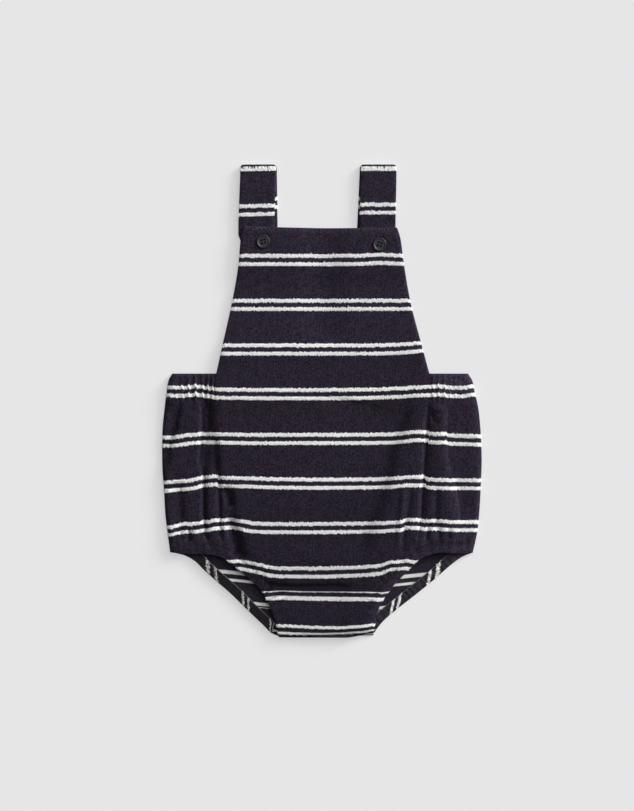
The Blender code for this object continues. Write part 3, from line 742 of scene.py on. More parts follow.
class StitchRow(Repeat):
    """Stitches of one thread along a line."""

    def __init__(
        self, thread: Thread, pitch: float, length: float, radius: float, slant: float = 0.0
    ) -> None:
        """Builds the tree: even places along the line, and a rounded stitch at each.

        Args:
            thread: What the stitches are made of.
            pitch: From one stitch to the next.
            length: How long a stitch is.
            radius: Of the thread.
            slant: How far each stitch is turned from the line, in radians.
        """
        sizes = {
            "Pitch": pitch * MM, "Stitch Length": length * MM, "Thread Radius": radius * MM, "Slant": slant,
        }
        super().__init__(f"stitches_{thread.name}", sizes, thread.material())
        tree, given = self.tree, self.inputs
        line = add_node(tree, "GeometryNodeMeshToCurve", {0: given["Geometry"]})
        inputs = {0: line.outputs[0], "Length": given["Pitch"]}
        places = add_node(tree, "GeometryNodeResampleCurve", inputs, mode="LENGTH")
        tangent = add_node(tree, "GeometryNodeInputTangent").outputs[0]
        ahead = add_node(tree, "FunctionNodeAlignRotationToVector", {"Vector": tangent}, axis="X")
        about = add_node(tree, "FunctionNodeAxisAngleToRotation", {"Angle": given["Slant"]})
        inputs = {0: ahead.outputs[0], 1: about.outputs[0]}
        slanted = add_node(tree, "FunctionNodeRotateRotation", inputs, rotation_space="GLOBAL")
        half = add_node(tree, "ShaderNodeMath", {0: given["Stitch Length"], 1: 0.5}, operation="MULTIPLY")
        scale = {0: half.outputs[0], 1: given["Thread Radius"], 2: given["Thread Radius"]}
        scale = add_node(tree, "ShaderNodeCombineXYZ", scale)
        ball = add_node(tree, "GeometryNodeMeshUVSphere", {"Segments": 6, "Rings": 5, "Radius": 1.0})
        stitch = add_node(tree, "GeometryNodeTransform", {0: ball.outputs[0], "Scale": scale.outputs[0]})
        inputs = {"Points": places.outputs[0], "Instance": stitch.outputs[0], "Rotation": slanted.outputs[0]}
        self.finish(add_node(tree, "GeometryNodeInstanceOnPoints", inputs).outputs[0])


# ---- the cut of the panels ----
def rows(*places: Pair) -> tuple[Row, ...]:
    """Rows of an outline."""
    return tuple(Row(x, y) for x, y in places)


@dataclass(frozen=True)
class Cut:
    """The outlines that the front and the back share, and where a share across and down them lies."""

    waist_y: float = 23.5
    leg_share: float = 0.27
    crotch_rise: float = 0.7  # the share of the crotch after which its edge rises to the right leg
    bib_sag: float = 0.9  # how much lower the bib's top edge hangs at its middle
    sag_reach: float = 0.25  # the share of the bib's height that sags
    side_left: tuple[Row, ...] = rows(
        (-127.1, 23.5), (-130.2, 18.0), (-131.8, 9.4), (-133.9, -7.7), (-135.6, -27.0), (-135.6, -56.0),
        (-134.2, -76.0), (-133.0, -97.0), (-131.0, -113.0), (-129.0, -128.1),
    )
    side_right: tuple[Row, ...] = rows(
        (124.0, 23.5), (127.8, 17.0), (129.4, 9.4), (133.0, -7.7), (134.9, -29.0), (135.6, -50.0),
        (134.9, -70.0), (133.9, -90.0), (132.0, -110.0), (128.0, -128.6),
    )
    bib_left: tuple[Row, ...] = rows(
        (-66.0, 148.4), (-69.0, 137.0), (-71.4, 112.2), (-76.9, 81.6), (-83.7, 51.0), (-89.7, 23.5)
    )
    bib_right: tuple[Row, ...] = rows(
        (63.6, 147.2), (66.7, 136.9), (70.1, 112.2), (75.7, 81.6), (83.7, 51.0), (91.0, 23.5)
    )
    front_leg_left: tuple[Row, ...] = rows(
        (-129.0, -128.1), (-117.0, -129.4), (-100.2, -129.8), (-89.7, -131.1), (-81.3, -134.6),
        (-69.9, -143.7), (-58.5, -153.5), (-51.7, -160.3), (-44.1, -174.8), (-38.8, -189.9),
        (-36.8, -200.4),
    )
    front_leg_right: tuple[Row, ...] = rows(
        (128.0, -128.6), (117.0, -129.2), (102.0, -128.4), (92.5, -129.8), (80.5, -135.6), (69.0, -147.6),
        (58.6, -158.8), (50.9, -170.2), (46.0, -182.3), (44.2, -192.6), (43.8, -196.9),
    )
    back_leg_left: tuple[Row, ...] = rows(
        (-129.0, -128.1), (-117.0, -130.7), (-107.9, -135.7), (-100.2, -143.2), (-89.7, -152.7),
        (-77.4, -163.4), (-62.3, -178.2), (-49.5, -190.4), (-43.5, -196.4), (-37.0, -199.4),
    )
    back_leg_right: tuple[Row, ...] = rows(
        (128.0, -128.6), (118.5, -132.3), (108.6, -139.5), (95.7, -150.9), (81.3, -162.6), (65.4, -175.1),
        (53.2, -185.4), (46.5, -193.2), (43.6, -198.8),
    )

    def sides(self) -> tuple[Line, Line]:
        """The side seams."""
        return Line(self.side_left), Line(self.side_right)

    def bib_sides(self) -> tuple[Line, Line]:
        """The bib's two edges."""
        return Line(self.bib_left), Line(self.bib_right)

    def front_legs(self) -> tuple[Line, Line]:
        """The front's leg edges."""
        return Line(self.front_leg_left), Line(self.front_leg_right)

    def back_legs(self) -> tuple[Line, Line]:
        """The back's leg edges."""
        return Line(self.back_leg_left), Line(self.back_leg_right)

    def waist(self, across: Array) -> tuple[Array, Array]:
        """Points of the waist's line."""
        return mix(self.side_left[0].x, self.side_right[0].x, across), np.full_like(across, self.waist_y)

    def hem(self, legs: tuple[Line, Line], across: Array) -> tuple[Array, Array]:
        """Points of the lower edge: one leg opening, the crotch, then the other leg opening.

        Args:
            legs: The panel's two leg edges.
            across: Shares from the left end.

        Returns:
            Their x and y.
        """
        left, right = legs[0].at(across / self.leg_share), legs[1].at((1.0 - across) / self.leg_share)
        share = np.clip((across - self.leg_share) / (1.0 - 2.0 * self.leg_share), 0.0, 1.0)
        ways = share, smooth(self.crotch_rise, 1.0, share)
        crotch = (mix(a, b, way) for a, b, way in zip(legs[0].points[-1], legs[1].points[-1], ways))
        on_left, on_right = across <= self.leg_share, across >= 1.0 - self.leg_share
        return tuple(np.where(on_left, l, np.where(on_right, r, c)) for l, r, c in zip(left, right, crotch))

    def body(self, legs: tuple[Line, Line], across: Array, down: Array) -> tuple[Array, Array]:
        """Points between the waist, the sides and the lower edge, as a patch between its four edges.

        Args:
            legs: The panel's two leg edges.
            across: Shares from the left side to the right, one for each column.
            down: Shares from the waist to the lower edge, one for each row.

        Returns:
            Grids of x and y.
        """
        top, bottom = self.waist(across), self.hem(legs, across)
        left, right = (side.at(down) for side in self.sides())
        s, t = across[None, :], down[:, None]
        plan = []
        for n in range(2):
            corners = mix(mix(top[n][0], top[n][-1], s), mix(bottom[n][0], bottom[n][-1], s), t)
            downwards, sideways = mix(top[n], bottom[n], t), mix(left[n][:, None], right[n][:, None], s)
            plan.append(downwards + sideways - corners)
        return tuple(plan)

    def bib(self, across: Array, down: Array) -> tuple[Array, Array]:
        """Grids of x and y on the bib, for shares between its two sides and down from its top."""
        left, right = (side.at(down) for side in self.bib_sides())
        x, y = (mix(l[:, None], r[:, None], across[None, :]) for l, r in zip(left, right))
        sag = self.bib_sag * 4.0 * across * (1.0 - across)
        return x, y - sag[None, :] * smooth(self.sag_reach, 0.0, down)[:, None]


# ---- the front's relief ----
class Fold(NamedTuple):
    """A trough along a path; a negative depth makes a ridge.

    The reaches are to a walker's right and left on the way along the path. A power of 1 gives a sharp crease,
    2 a soft fold and 4 a flat floor with steep sides.
    """

    path: Pairs
    right: float
    left: float
    depth: float
    power: float = 2.0
    painted_shade: float = 0.0  # how much painted shade lies in it, which darkens it


class Ridge(NamedTuple):
    """A gather: how far in from the side seam it lies at the waist, and its share of the full height."""

    inset: float
    height: float


@dataclass(frozen=True)
class Relief:
    """How high the front's outer face lies."""

    cloth: float = 1.8
    faced: float = 2.0
    seam_gap: float = 0.3
    highest: float = 10.6
    bib_from: Pair = (44.0, 62.0)  # where the body's cloth passes into the bib's
    bib_hollow: float = 2.4  # how much lower the bib's middle lies than over its straps
    bib_hollow_half: float = 27.0
    wing_drop: float = 0.5  # how much lower the wings lie than the middle
    wing_from: Pair = (70.0, 115.0)
    end_share: float = 0.15  # what is left of a fold's depth at its ends
    end_reach: float = 0.22  # and the share of its length in which it gets shallower
    belly: float = 1.9  # how much fuller the middle is than the wings
    belly_soft: float = 8.0
    belly_foot: Pair = (-153.0, -131.0)
    belly_top: Pair = (34.0, 6.0)
    # (y, left, right): where the full middle ends
    belly_sides: tuple[tuple[float, float, float], ...] = (
        (-150.0, -50.0, 90.0), (-125.0, -66.0, 118.0), (-105.0, -74.0, 118.0), (-78.0, -80.0, 113.0),
        (-60.0, -90.0, 110.0), (-20.0, -92.0, 107.0), (20.0, -94.0, 106.0),
    )
    levels: Pairs = (
        (-205.0, 6.8), (-146.0, 7.0), (-120.0, 7.2), (-60.0, 7.1), (20.0, 7.0), (38.0, 6.7), (60.0, 4.9),
        (96.0, 5.0), (116.0, 7.3), (150.0, 7.4),
    )
    folds: tuple[Fold, ...] = (
        # left wing, from the side seam inwards
        Fold((
            (-121.6, 1.0), (-122.5, -8.2), (-125.4, -21.7), (-129.7, -36.9), (-131.4, -49.5),
            (-132.7, -59.6),
        ), 12.0, 3.2, 2.6, 2.2),
        Fold(((-121.7, -64.6), (-121.3, -82.3), (-120.4, -94.1), (-118.3, -107.6)), 10.0, 4.6, 2.2, 2.2),
        Fold((
            (-100.2, 4.4), (-100.2, -9.1), (-100.1, -21.7), (-101.2, -34.3), (-101.9, -47.8),
            (-101.5, -61.3),
        ), 2.4, 8.4, 2.5, 3.2, 0.3),
        Fold(((-90.6, -27.6), (-89.9, -39.4), (-89.5, -51.2), (-89.5, -63.0)), 3.4, 2.8, 1.7, 2.2, 0.25),
        Fold(((-97.3, 1.0), (-97.7, -9.1), (-98.1, -19.2), (-98.6, -29.3)), 2.0, 3.6, 1.3, 2.2),
        Fold((
            (-100.4, -49.5), (-100.1, -68.0), (-100.1, -87.4), (-99.7, -100.0), (-99.0, -111.8),
            (-96.4, -119.4), (-94.8, -125.3),
        ), 1.8, 2.7, 3.0, 2.0, 0.45),
        Fold((
            (-87.6, -56.2), (-87.1, -69.7), (-86.8, -82.3), (-86.4, -94.1), (-85.8, -112.6),
            (-83.9, -124.4),
        ), 2.2, 2.0, 2.0, 1.6, 0.3),
        Fold(((-81.9, -70.5), (-80.0, -76.4), (-77.9, -83.2), (-76.2, -91.6)), 4.0, 4.2, 2.8, 2.2, 0.3),
        Fold((
            (-78.8, -94.1), (-75.8, -105.1), (-73.3, -115.2), (-71.2, -125.3), (-69.1, -136.2),
        ), 4.8, 4.8, 3.4, 2.4, 0.45),
        # right wing, from the side seam inwards
        Fold((
            (106.5, 2.7), (107.3, -9.1), (106.9, -24.2), (107.7, -46.1), (110.3, -57.9), (113.6, -69.7),
        ), 2.4, 12.0, 2.1, 1.2),
        Fold((
            (111.9, -61.3), (115.0, -74.7), (116.4, -83.2), (117.4, -94.1), (118.7, -105.1),
        ), 1.9, 9.0, 2.3, 1.2),
        Fold(((97.6, -2.3), (98.1, -9.1)), 5.5, 5.5, -1.2, 3.0),
        Fold(((92.2, -9.9), (94.7, -16.7), (100.2, -19.6)), 1.4, 2.6, 1.1, 1.4),
        Fold((
            (97.2, -69.7), (97.5, -82.3), (96.8, -94.1), (97.2, -103.4), (98.9, -116.8),
        ), 3.0, 3.0, 1.6, 1.6),
        Fold((
            (89.2, 4.4), (89.5, -8.2), (88.4, -25.9), (87.4, -46.1), (86.7, -57.9), (84.8, -82.3),
            (84.4, -94.1), (82.5, -108.4), (81.2, -120.2),
        ), 1.3, 5.2, 3.5, 1.2, 0.35),
        Fold((
            (75.7, -69.7), (74.5, -82.3), (72.8, -94.1), (70.7, -105.1), (69.3, -114.3), (68.8, -123.6),
            (68.2, -132.0),
        ), 2.4, 2.8, 1.9, 1.2),
        Fold((
            (70.7, 12.8), (69.4, -9.1), (62.3, -25.9), (56.4, -41.1), (54.7, -49.5), (52.6, -57.9),
            (47.1, -82.3), (42.1, -94.1), (37.0, -108.4), (32.8, -123.6), (30.3, -142.1),
        ), 52.0, 7.6, 4.0, 2.2, 0.1),
        Fold((
            (69.4, -68.0), (68.4, -89.9), (66.7, -101.7), (65.9, -116.8), (65.8, -126.0),
        ), 2.6, 2.0, -1.5, 2.0),
        # pleats that run out at the leg casings
        Fold(((-112.9, -107.4), (-112.0, -120.5)), 2.2, 2.6, 2.4, 1.8, 0.2),
        Fold(((-119.3, -104.4), (-118.9, -120.7)), 2.0, 2.2, 1.5, 1.6, 0.2),
        Fold(((-103.2, -106.7), (-102.8, -117.7)), 1.3, 1.5, 1.0, 1.4),
        Fold(((91.7, -101.7), (87.9, -118.5)), 1.5, 1.8, 1.9, 1.4),
        Fold(((100.2, -103.4), (99.3, -117.7)), 1.5, 1.8, 1.3, 1.4),
        Fold(((108.2, -105.1), (107.3, -117.7)), 1.5, 1.8, 1.7, 1.4),
        Fold(((117.8, -106.7), (117.4, -116.8)), 1.4, 1.8, 1.1, 1.4),
        # where the belly hangs over the crotch
        Fold((
            (-54.9, -150.2), (-48.2, -153.6), (-37.2, -156.1), (-25.4, -157.0), (-10.2, -157.0),
            (8.4, -156.5), (21.1, -157.0), (30.4, -158.2),
        ), 15.0, 2.5, 3.0, 2.0, 0.4),
    )
    ridges_left: tuple[Ridge, ...] = (
        Ridge(8.4, 0.4), Ridge(14.0, 0.7), Ridge(20.0, 1.0), Ridge(26.0, 0.75), Ridge(30.5, 0.9),
        Ridge(34.5, 0.8),
    )
    ridges_right: tuple[Ridge, ...] = (
        Ridge(6.8, 0.2), Ridge(11.0, 0.35), Ridge(15.3, 0.45), Ridge(20.3, 0.6), Ridge(25.4, 0.55),
        Ridge(29.9, 0.55),
    )
    ungathered: float = 3.8  # from a side seam to where its gathers start
    waist_casing: float = 20.0
    waist_fade: float = 7.0
    waist_height: float = 0.8
    casing_share: float = 0.6
    crest: float = 2.6  # how narrow the gathers' crests are
    sharpest: float = 0.5  # the bend, in 1/mm, at which the painted shade of a crease is full
    # the most painted highlight that a crest gets
    crest_light_limit: float = 0.7
    leg_casing: float = 8.0
    leg_fade: float = 14.0
    pucker: float = 0.4
    pucker_pitch: float = 7.6
    groove: float = 0.5  # how deep a row of stitches pulls the pile down
    groove_reach: float = 1.1
    buttons: Pairs = ((-49.8, 135.2), (48.8, 132.8))
    dimple: float = 0.8  # how deep a button sinks into the loops
    dimple_reach: float = 6.8
    painted_lightening: float = 0.55  # how much lighter the knit is painted, and where: over the bib
    lightened_bib: Pair = (28.0, 72.0)
    lightened_side: Pair = (99.0, 114.0)  # on the right side
    lightened_side_top: Pair = (40.0, 20.0)
    darkened_belly: float = 0.6  # and how much darker it is painted low on the belly's middle, as a share
    darkened_belly_top: Pair = (-58.0, -98.0)
    darkened_belly_half: Pair = (35.0, 75.0)
    darkened_belly_x: float = -5.0
    rim: float = 1.2  # how much painted highlight lies along a cut edge
    edge_light_reach: float = 1.1

    @property
    def seam_level(self) -> float:
        """Where the front's side seams meet the back."""
        return self.cloth + self.seam_gap

    def middle(self, y: Array) -> Array:
        """The level down the middle of the front."""
        level = np.full(np.shape(y), self.levels[0][1])
        for (below, low), (above, high) in zip(self.levels, self.levels[1:]):
            level = np.where(y >= below, mix(low, high, smooth(below, above, y)), level)
        return level

    def trough(self, fold: Fold, x: Array, y: Array) -> Array:
        """The shape of one fold, as a share of its depth. It is shallow at its ends.

        Args:
            fold: The fold.
            x: The points' x.
            y: The points' y.

        Returns:
            The share at each point.
        """
        lengths = [math.dist(a, b) for a, b in zip(fold.path, fold.path[1:])]
        nearest = np.full(np.shape(x), np.inf)
        to_right, share = np.zeros(np.shape(x)), np.zeros(np.shape(x))
        passed = 0.0
        for (ax, ay), (bx, by), length in zip(fold.path, fold.path[1:], lengths):
            along = ((x - ax) * (bx - ax) + (y - ay) * (by - ay)) / length
            aside = ((x - ax) * (by - ay) - (y - ay) * (bx - ax)) / length
            held = np.clip(along, 0.0, length)
            away = np.hypot(aside, along - held)
            closer = away < nearest
            nearest = np.where(closer, away, nearest)
            to_right = np.where(closer, aside, to_right)
            share = np.where(closer, (passed + held) / sum(lengths), share)
            passed += length
        reach = mix(fold.left, fold.right, smooth(-1.0, 1.0, to_right / np.maximum(nearest, 1e-6)))
        profile = np.exp(-((nearest / reach) ** fold.power))
        full = smooth(0.0, self.end_reach, share) * smooth(1.0, 1.0 - self.end_reach, share)
        return profile * mix(self.end_share, 1.0, full)

    def level(self, x: Array, y: Array) -> Array:
        """The outer face's level, away from the edges."""
        on_bib = smooth(*self.bib_from, y)
        level = self.middle(y) - self.wing_drop * smooth(*self.wing_from, np.abs(x))
        level += self.belly * self.fullness(x, y)
        level -= self.bib_hollow * (1.0 - smooth(0.0, self.bib_hollow_half, np.abs(x))) * on_bib
        level -= sum(fold.depth * self.trough(fold, x, y) for fold in self.folds)
        level += self.slack(x, y)
        lowest = mix(self.seam_level + self.cloth + 0.1, self.faced + self.seam_gap, on_bib)
        return np.clip(level, lowest, self.highest)

    def fullness(self, x: Array, y: Array) -> Array:
        """How much of the belly's extra height each place has."""
        at, left, right = (np.array(part) for part in zip(*self.belly_sides))
        to_left, to_right = x - np.interp(y, at, left), np.interp(y, at, right) - x
        inside = smooth(-self.belly_soft, self.belly_soft, np.minimum(to_left, to_right))
        return inside * smooth(*self.belly_foot, y) * smooth(*self.belly_top, y)

    def painted_shading(self, x: Array, y: Array, level: Array) -> Array:
        """The painted highlight over a crest, above 0, and the painted shade in a crease or a shaded fold,
        below 0, plus the painted lightening by place.

        Args:
            x: The points' x, on a grid.
            y: Their y.
            level: How high they lie.

        Returns:
            The share at each point.
        """
        bend = 0.0
        for axis, place in ((1, x), (0, y)):
            step = np.gradient(place, axis=axis)
            step = np.where(np.abs(step) < 0.15, np.inf, step)
            bend = bend - np.gradient(np.gradient(level, axis=axis) / step, axis=axis) / step
        painted_shade = sum(fold.painted_shade * self.trough(fold, x, y) for fold in self.folds if fold.painted_shade)
        return np.clip(bend / self.sharpest, -1.0, self.crest_light_limit) - painted_shade + self.lightened_places(x, y)

    def lightened_places(self, x: Array, y: Array) -> Array:
        """Where the knit is painted lighter: over the bib and the right side, and darker low on the belly's
        middle.
        """
        off_middle = smooth(*self.darkened_belly_half, np.abs(x - self.darkened_belly_x))
        low_on_belly = smooth(*self.darkened_belly_top, y) * (1.0 - off_middle)
        on_right_side = smooth(*self.lightened_side, x) * smooth(*self.lightened_side_top, y)
        return self.painted_lightening * (smooth(*self.lightened_bib, y) + on_right_side - self.darkened_belly * low_on_belly)

    @staticmethod
    def slack(x: Array, y: Array) -> Array:
        """Low, wide unevenness of cloth that lies loose."""
        wide = np.sin(x / 17.0 + 1.9 * np.sin(y / 31.0)) * np.sin(y / 23.0 + 1.1 * np.sin(x / 29.0))
        narrow = np.sin(x / 6.1 + 2.3 * np.sin(y / 12.0)) * np.sin(y / 9.3 + 1.7 * np.sin(x / 11.0))
        return 0.12 * wide + 0.05 * narrow

    def gather(self, below_waist: Array) -> Array:
        """How high a full ridge stands: highest where the waist's casing is stitched."""
        rise = mix(self.casing_share, 1.0, smooth(0.0, self.waist_casing, below_waist))
        fade = 1.0 - smooth(self.waist_casing, self.waist_casing + self.waist_fade, below_waist)
        return self.waist_height * rise * fade

    def puckers(self, to_leg: Array, along: Array) -> Array:
        """The leg casing's puckers, which run on a little way above it.

        Args:
            to_leg: How far points lie from the leg's edge.
            along: How far along the edge they lie.

        Returns:
            The rise at each point.
        """
        turn = 2.0 * math.pi * along / self.pucker_pitch
        wave = np.sin(turn + 1.4 * np.sin(turn / 3.3)) * (0.7 + 0.3 * np.sin(turn / 4.1))
        above = 1.0 - smooth(self.leg_casing, self.leg_casing + self.leg_fade, to_leg)
        return self.pucker * wave * mix(0.35, 1.0, smooth(2.0, self.leg_casing, to_leg)) * above

    def ridges(self, x: Array, cut: Cut) -> Array:
        """The gathers' height, as a share; valleys lie below 0. They run straight down.

        Args:
            x: The points' x.
            cut: The panels' outlines.

        Returns:
            The shares, with narrow crests and wide valleys.
        """
        waist = cut.side_right[0].x - cut.side_left[0].x
        left = self.knots(self.ridges_left, cut.bib_left[-1].x - cut.side_left[0].x)
        right = self.knots(self.ridges_right, cut.side_right[0].x - cut.bib_right[-1].x)
        knots = [*left, *((waist - inset, height) for inset, height in reversed(right))]
        places, heights = (np.array(part) for part in zip(*knots))
        inset = x - cut.side_left[0].x
        n = np.clip(np.searchsorted(places, inset) - 1, 0, len(places) - 2)
        share = np.clip((inset - places[n]) / (places[n + 1] - places[n]), 0.0, 1.0)
        to_crest = np.where(heights[n + 1] > heights[n], share, 1.0 - share)
        low, high = np.minimum(heights[n], heights[n + 1]), np.maximum(heights[n], heights[n + 1])
        return mix(low, high, (0.5 - 0.5 * np.cos(math.pi * to_crest)) ** self.crest)

    def knots(self, ridges: tuple[Ridge, ...], wing: float) -> list[Pair]:
        """Crests and valleys from a side seam to the bib's edge.

        Args:
            ridges: One wing's gathers.
            wing: How wide it is at the waist.

        Returns:
            (inset, height) of each.
        """
        start = self.ungathered
        knots = [(0.0, 0.0), (start, 0.0), (mix(start, ridges[0].inset, 0.5), -ridges[0].height)]
        for ridge, after in zip(ridges, [*ridges[1:], Ridge(wing, 0.0)]):
            knots.append((ridge.inset, ridge.height))
            knots.append((mix(ridge.inset, after.inset, 0.5), -mix(ridge.height, after.height, 0.5)))
        return [*knots, (wing, 0.0)]

    def dimples(self, x: Array, y: Array) -> Array:
        """How far the buttons press the loops down."""
        away = (np.hypot(x - bx, y - by) / self.dimple_reach for bx, by in self.buttons)
        return self.dimple * sum(np.exp(-(share**6)) for share in away)

    def painted_edge_light(self, to_edge: Array) -> Array:
        """The painted highlight near an edge."""
        return self.rim * np.exp(-((to_edge / self.edge_light_reach) ** 2))

    def stitched(self, away: Array) -> Array:
        """How far a row of stitches pulls the cloth down, at a distance from it."""
        return self.groove * np.exp(-((away / self.groove_reach) ** 2))


# ---- where the stripes run ----
class Course(NamedTuple):
    """A pair of stripes, and how far it rises above its level at the middle, at places across."""

    y: float
    rises: Pairs


@dataclass(frozen=True)
class FrontStripes:
    """Which stripe of the front's cloth shows where. Folds and gathers lift stripes or swallow cloth."""

    ridge_lift: float = 1.7
    courses: tuple[Course, ...] = (
        Course(119.9, ((30.0, 0.0), (49.7, 1.1), (58.2, 0.6), (68.0, 0.2))),
        Course(82.0, ((0.0, 0.0),)),
        Course(43.8, ((50.0, 0.0), (66.7, 0.7), (76.9, 1.5), (84.0, 2.4))),
        Course(6.0, (
            (-132.2, 3.2), (-127.1, 2.3), (-116.9, 2.1), (-111.8, 2.5), (-106.7, 3.4), (-101.6, 2.4),
            (-96.5, 1.7), (-91.4, 0.7), (-80.0, 0.4), (-60.0, 0.1), (0.0, 0.0), (40.0, 0.4), (66.7, 1.4),
            (76.9, 2.2), (87.1, 2.7), (97.3, 3.0), (102.4, 2.9), (107.5, 2.0), (117.7, 1.7), (122.8, 2.4),
            (127.9, 3.2),
        )),
        Course(-31.8, (
            (-132.2, -2.2), (-127.1, -2.6), (-116.9, -0.9), (-111.8, -0.2), (-101.6, 0.8), (-97.0, 0.6),
            (-86.3, 0.6), (-60.0, 0.0), (40.0, 0.1), (58.2, 0.4), (66.7, 1.0), (76.9, 2.3), (82.0, 2.5),
            (89.6, 2.3), (90.8, 0.9), (97.3, 0.6), (105.4, 0.9), (106.8, -0.5), (122.8, -0.9),
            (133.0, -1.3),
        )),
        Course(-70.0, (
            (-132.2, -2.6), (-122.0, -1.7), (-111.8, -0.8), (-106.7, 0.2), (-101.6, 1.9), (-91.4, 2.8),
            (-88.9, 2.9), (-87.6, 1.7), (-81.2, 1.5), (-60.8, 1.2), (-40.0, 0.4), (-10.0, 0.0), (40.0, 0.2),
            (58.2, 0.6), (66.7, 1.7), (71.8, 2.3), (87.3, 2.2), (88.6, 0.3), (102.4, -0.4), (127.9, -0.6),
        )),
        Course(-107.6, (
            (-127.1, -2.6), (-122.0, -0.9), (-116.9, 0.0), (-106.7, 0.2), (-101.6, 1.3), (-96.5, 1.7),
            (-91.4, 3.1), (-81.2, 3.7), (-76.1, 3.9), (-69.3, 3.0), (-60.8, 0.9), (-50.0, 0.2),
            (-20.0, 0.0), (30.0, 0.2), (49.7, 0.8), (58.2, 1.5), (67.5, 1.9), (71.0, 4.0), (84.4, 3.4),
            (86.2, 2.5), (92.2, 3.0), (102.4, 2.6), (112.6, 1.9), (127.9, 1.8),
        )),
        Course(-145.1, (
            (-76.1, 6.1), (-69.3, 6.8), (-60.8, 5.2), (-52.3, 3.4), (-44.0, 1.0), (-35.3, 0.2), (0.0, 0.0),
            (32.7, 1.1), (49.7, 2.7), (58.2, 6.2), (66.7, 6.8), (71.8, 7.2), (76.9, 5.6),
        )),
        Course(-166.0, (
            (-52.3, -0.8), (-44.0, 0.1), (-35.3, 0.7), (-10.0, 0.0), (15.7, -0.3), (38.0, -0.4),
            (49.7, -0.9),
        )),
        Course(-191.5, ((-35.3, 1.7), (-18.3, 0.9), (0.0, 0.0), (15.7, -0.2), (32.7, 0.9), (42.9, 2.4))),
        Course(-196.5, (
            (-35.3, 0.7), (-18.3, 0.2), (0.0, -0.2), (15.7, 0.1), (32.7, 1.4), (38.0, 2.2), (42.9, 3.7),
        )),
    )
    # (y, the cloth's coordinate) down the middle: the two agree down to the fold at the crotch
    swallowed: Pairs = (
        (150.0, 150.0), (-80.0, -80.0), (-107.3, -107.6), (-150.4, -151.0), (-157.2, -160.0),
        (-161.3, -177.9), (-161.7, -181.5), (-165.1, -185.1), (-169.0, -188.5), (-190.3, -216.0),
        (-192.9, -219.4), (-196.0, -223.0), (-198.0, -226.4), (-200.5, -229.5),
    )

    def across(self, x: Array, y: Array) -> Array:
        """The cloth's coordinate across the stripes.

        Args:
            x: The points' x.
            y: The points' y.

        Returns:
            The coordinate at each point.
        """
        rise = np.zeros(np.shape(x))
        lifts = [np.interp(x, *zip(*course.rises)) for course in self.courses]
        for upper, lower, high, low in zip(self.courses, self.courses[1:], lifts, lifts[1:]):
            between = (y <= upper.y) & (y > lower.y)
            rise = np.where(between, mix(low, high, smooth(lower.y, upper.y, y)), rise)
        rise = np.where(y > self.courses[0].y, lifts[0], np.where(y <= self.courses[-1].y, lifts[-1], rise))
        return np.interp(y - rise, *zip(*reversed(self.swallowed)))


